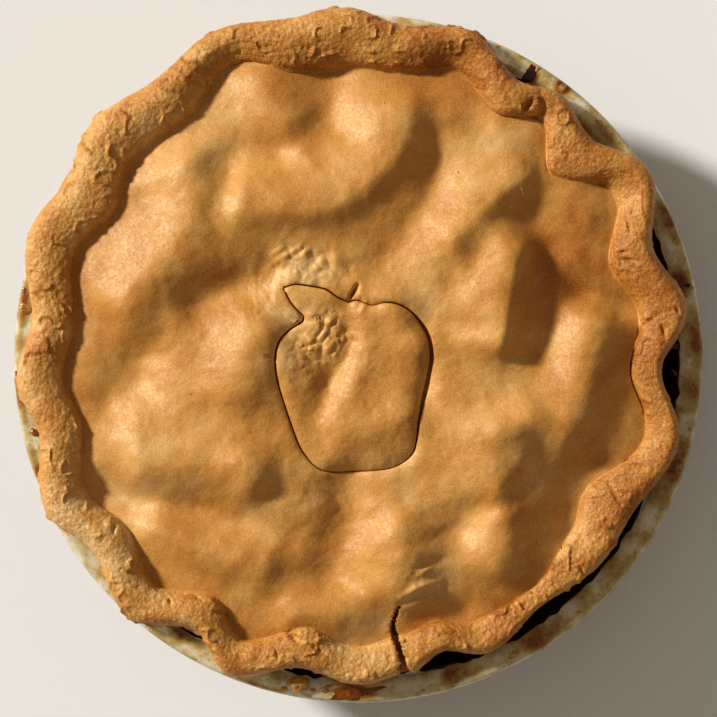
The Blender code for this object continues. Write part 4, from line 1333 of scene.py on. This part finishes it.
class PieStage(bpy.types.PropertyGroup):
    """Camera, lights and floor."""
    camera_height: bpy.props.FloatProperty(
        name="Camera height", description="Camera above the flange", default=1.2, min=0.3,
        unit="LENGTH", subtype="DISTANCE")
    key_strength: bpy.props.FloatProperty(
        name="Key strength", description="Strength of the key light", default=3.7, min=0.0)
    key_softness: bpy.props.FloatProperty(
        name="Key softness", description="Apparent size of the key light",
        default=math.radians(7.0), min=0.0, subtype="ANGLE")
    key_azimuth: bpy.props.FloatProperty(
        name="Key azimuth", description="Bearing that the key light comes from",
        default=math.radians(152.0), subtype="ANGLE")
    key_elevation: bpy.props.FloatProperty(
        name="Key elevation", description="Height of the key light over the floor",
        default=math.radians(28.0), subtype="ANGLE")
    key_colour: colour_property("Key colour", "Colour of the key light", "#FFF6E8")
    fill_colour: colour_property("Fill colour", "Colour of the fill", "#FFEBD0")
    fill_strength: bpy.props.FloatProperty(
        name="Fill strength", description="Strength of the even fill", default=0.25, min=0.0)
    floor: colour_property("Floor", "Colour of the floor", "#F1F6FF")


class PiePiece:
    """What the operators of the pie's pieces share."""
    bl_options = {"REGISTER"}
    make = None

    def execute(self, context):
        scene = context.scene
        if not self.__class__.make(scene.pie_shape, scene.pie_finish):
            raise RuntimeError(f"{self.bl_label}: nothing was made")
        return {"FINISHED"}


class PIE_OT_top_crust(PiePiece, bpy.types.Operator):
    """Drape the top crust over the apple slices"""
    bl_idname = "pie.top_crust"
    bl_label = "Top Crust"
    make = add_top_crust


class PIE_OT_fluted_edge(PiePiece, bpy.types.Operator):
    """Lay the hand-fluted edge round the pie"""
    bl_idname = "pie.fluted_edge"
    bl_label = "Fluted Edge"
    make = add_fluted_edge


class PIE_OT_base_crust(PiePiece, bpy.types.Operator):
    """Line the plate with the bottom crust"""
    bl_idname = "pie.base_crust"
    bl_label = "Bottom Crust"
    make = add_base


class PIE_OT_apple(PiePiece, bpy.types.Operator):
    """Lay the cut-out pastry apple in its cut"""
    bl_idname = "pie.apple"
    bl_label = "Pastry Apple"
    make = add_apple


class PIE_OT_dish(PiePiece, bpy.types.Operator):
    """Turn the glass plate with its baked-on stains"""
    bl_idname = "pie.dish"
    bl_label = "Glass Plate"
    make = add_dish


class PIE_OT_spills(PiePiece, bpy.types.Operator):
    """Lay the juice that boiled over on the flange"""
    bl_idname = "pie.spills"
    bl_label = "Baked Juice"
    make = add_spills


class PIE_OT_gap_shade_and_juice(PiePiece, bpy.types.Operator):
    """Fill the gaps between edge and glass with a dark coat, painted shade and partly burnt juice
    """
    bl_idname = "pie.burnt_gaps"
    bl_label = "Burnt Gaps"
    make = add_gap_shade_and_juice


class PIE_OT_crumbs(PiePiece, bpy.types.Operator):
    """Strew the crumbs on the flange"""
    bl_idname = "pie.crumbs"
    bl_label = "Crumbs"
    make = add_crumbs


class PIE_OT_stage(bpy.types.Operator):
    """Set up floor, lights and camera"""
    bl_idname = "pie.stage"
    bl_label = "Stage"
    bl_options = {"REGISTER"}

    def execute(self, context):
        add_stage(context.scene.pie_stage)
        return {"FINISHED"}


PIECE_OPERATORS = [PIE_OT_top_crust, PIE_OT_fluted_edge, PIE_OT_base_crust, PIE_OT_apple,
                   PIE_OT_dish, PIE_OT_spills, PIE_OT_gap_shade_and_juice, PIE_OT_crumbs,
                   PIE_OT_stage]


class PIE_PT_panel(bpy.types.Panel):
    """Lists the settings and the steps"""
    bl_label = "Pie"
    bl_idname = "PIE_PT_panel"
    bl_space_type = "VIEW_3D"
    bl_region_type = "UI"
    bl_category = "Pie"

    def draw(self, context):
        scene = context.scene
        for group in (scene.pie_shape, scene.pie_finish, scene.pie_stage):
            box = self.layout.box()
            for name in group.__annotations__:
                box.prop(group, name)
        for step in PIECE_OPERATORS:
            self.layout.operator(step.bl_idname)


CLASSES = [PieShape, PieFinish, PieStage, *PIECE_OPERATORS, PIE_PT_panel]


def register():
    for cls in CLASSES:
        bpy.utils.register_class(cls)
    bpy.types.Scene.pie_shape = bpy.props.PointerProperty(type=PieShape)
    bpy.types.Scene.pie_finish = bpy.props.PointerProperty(type=PieFinish)
    bpy.types.Scene.pie_stage = bpy.props.PointerProperty(type=PieStage)


def unregister():
    for name in ("pie_shape", "pie_finish", "pie_stage"):
        delattr(bpy.types.Scene, name)
    for cls in reversed(CLASSES):
        bpy.utils.unregister_class(cls)


def main():
    """Registers the add-on and makes every piece and the stage."""
    register()
    for step in PIECE_OPERATORS:
        group, name = step.bl_idname.split(".")
        if getattr(getattr(bpy.ops, group), name)() != {"FINISHED"}:
            raise RuntimeError(f"{step.bl_label} did not finish")


if __name__ == "__main__":
    main()
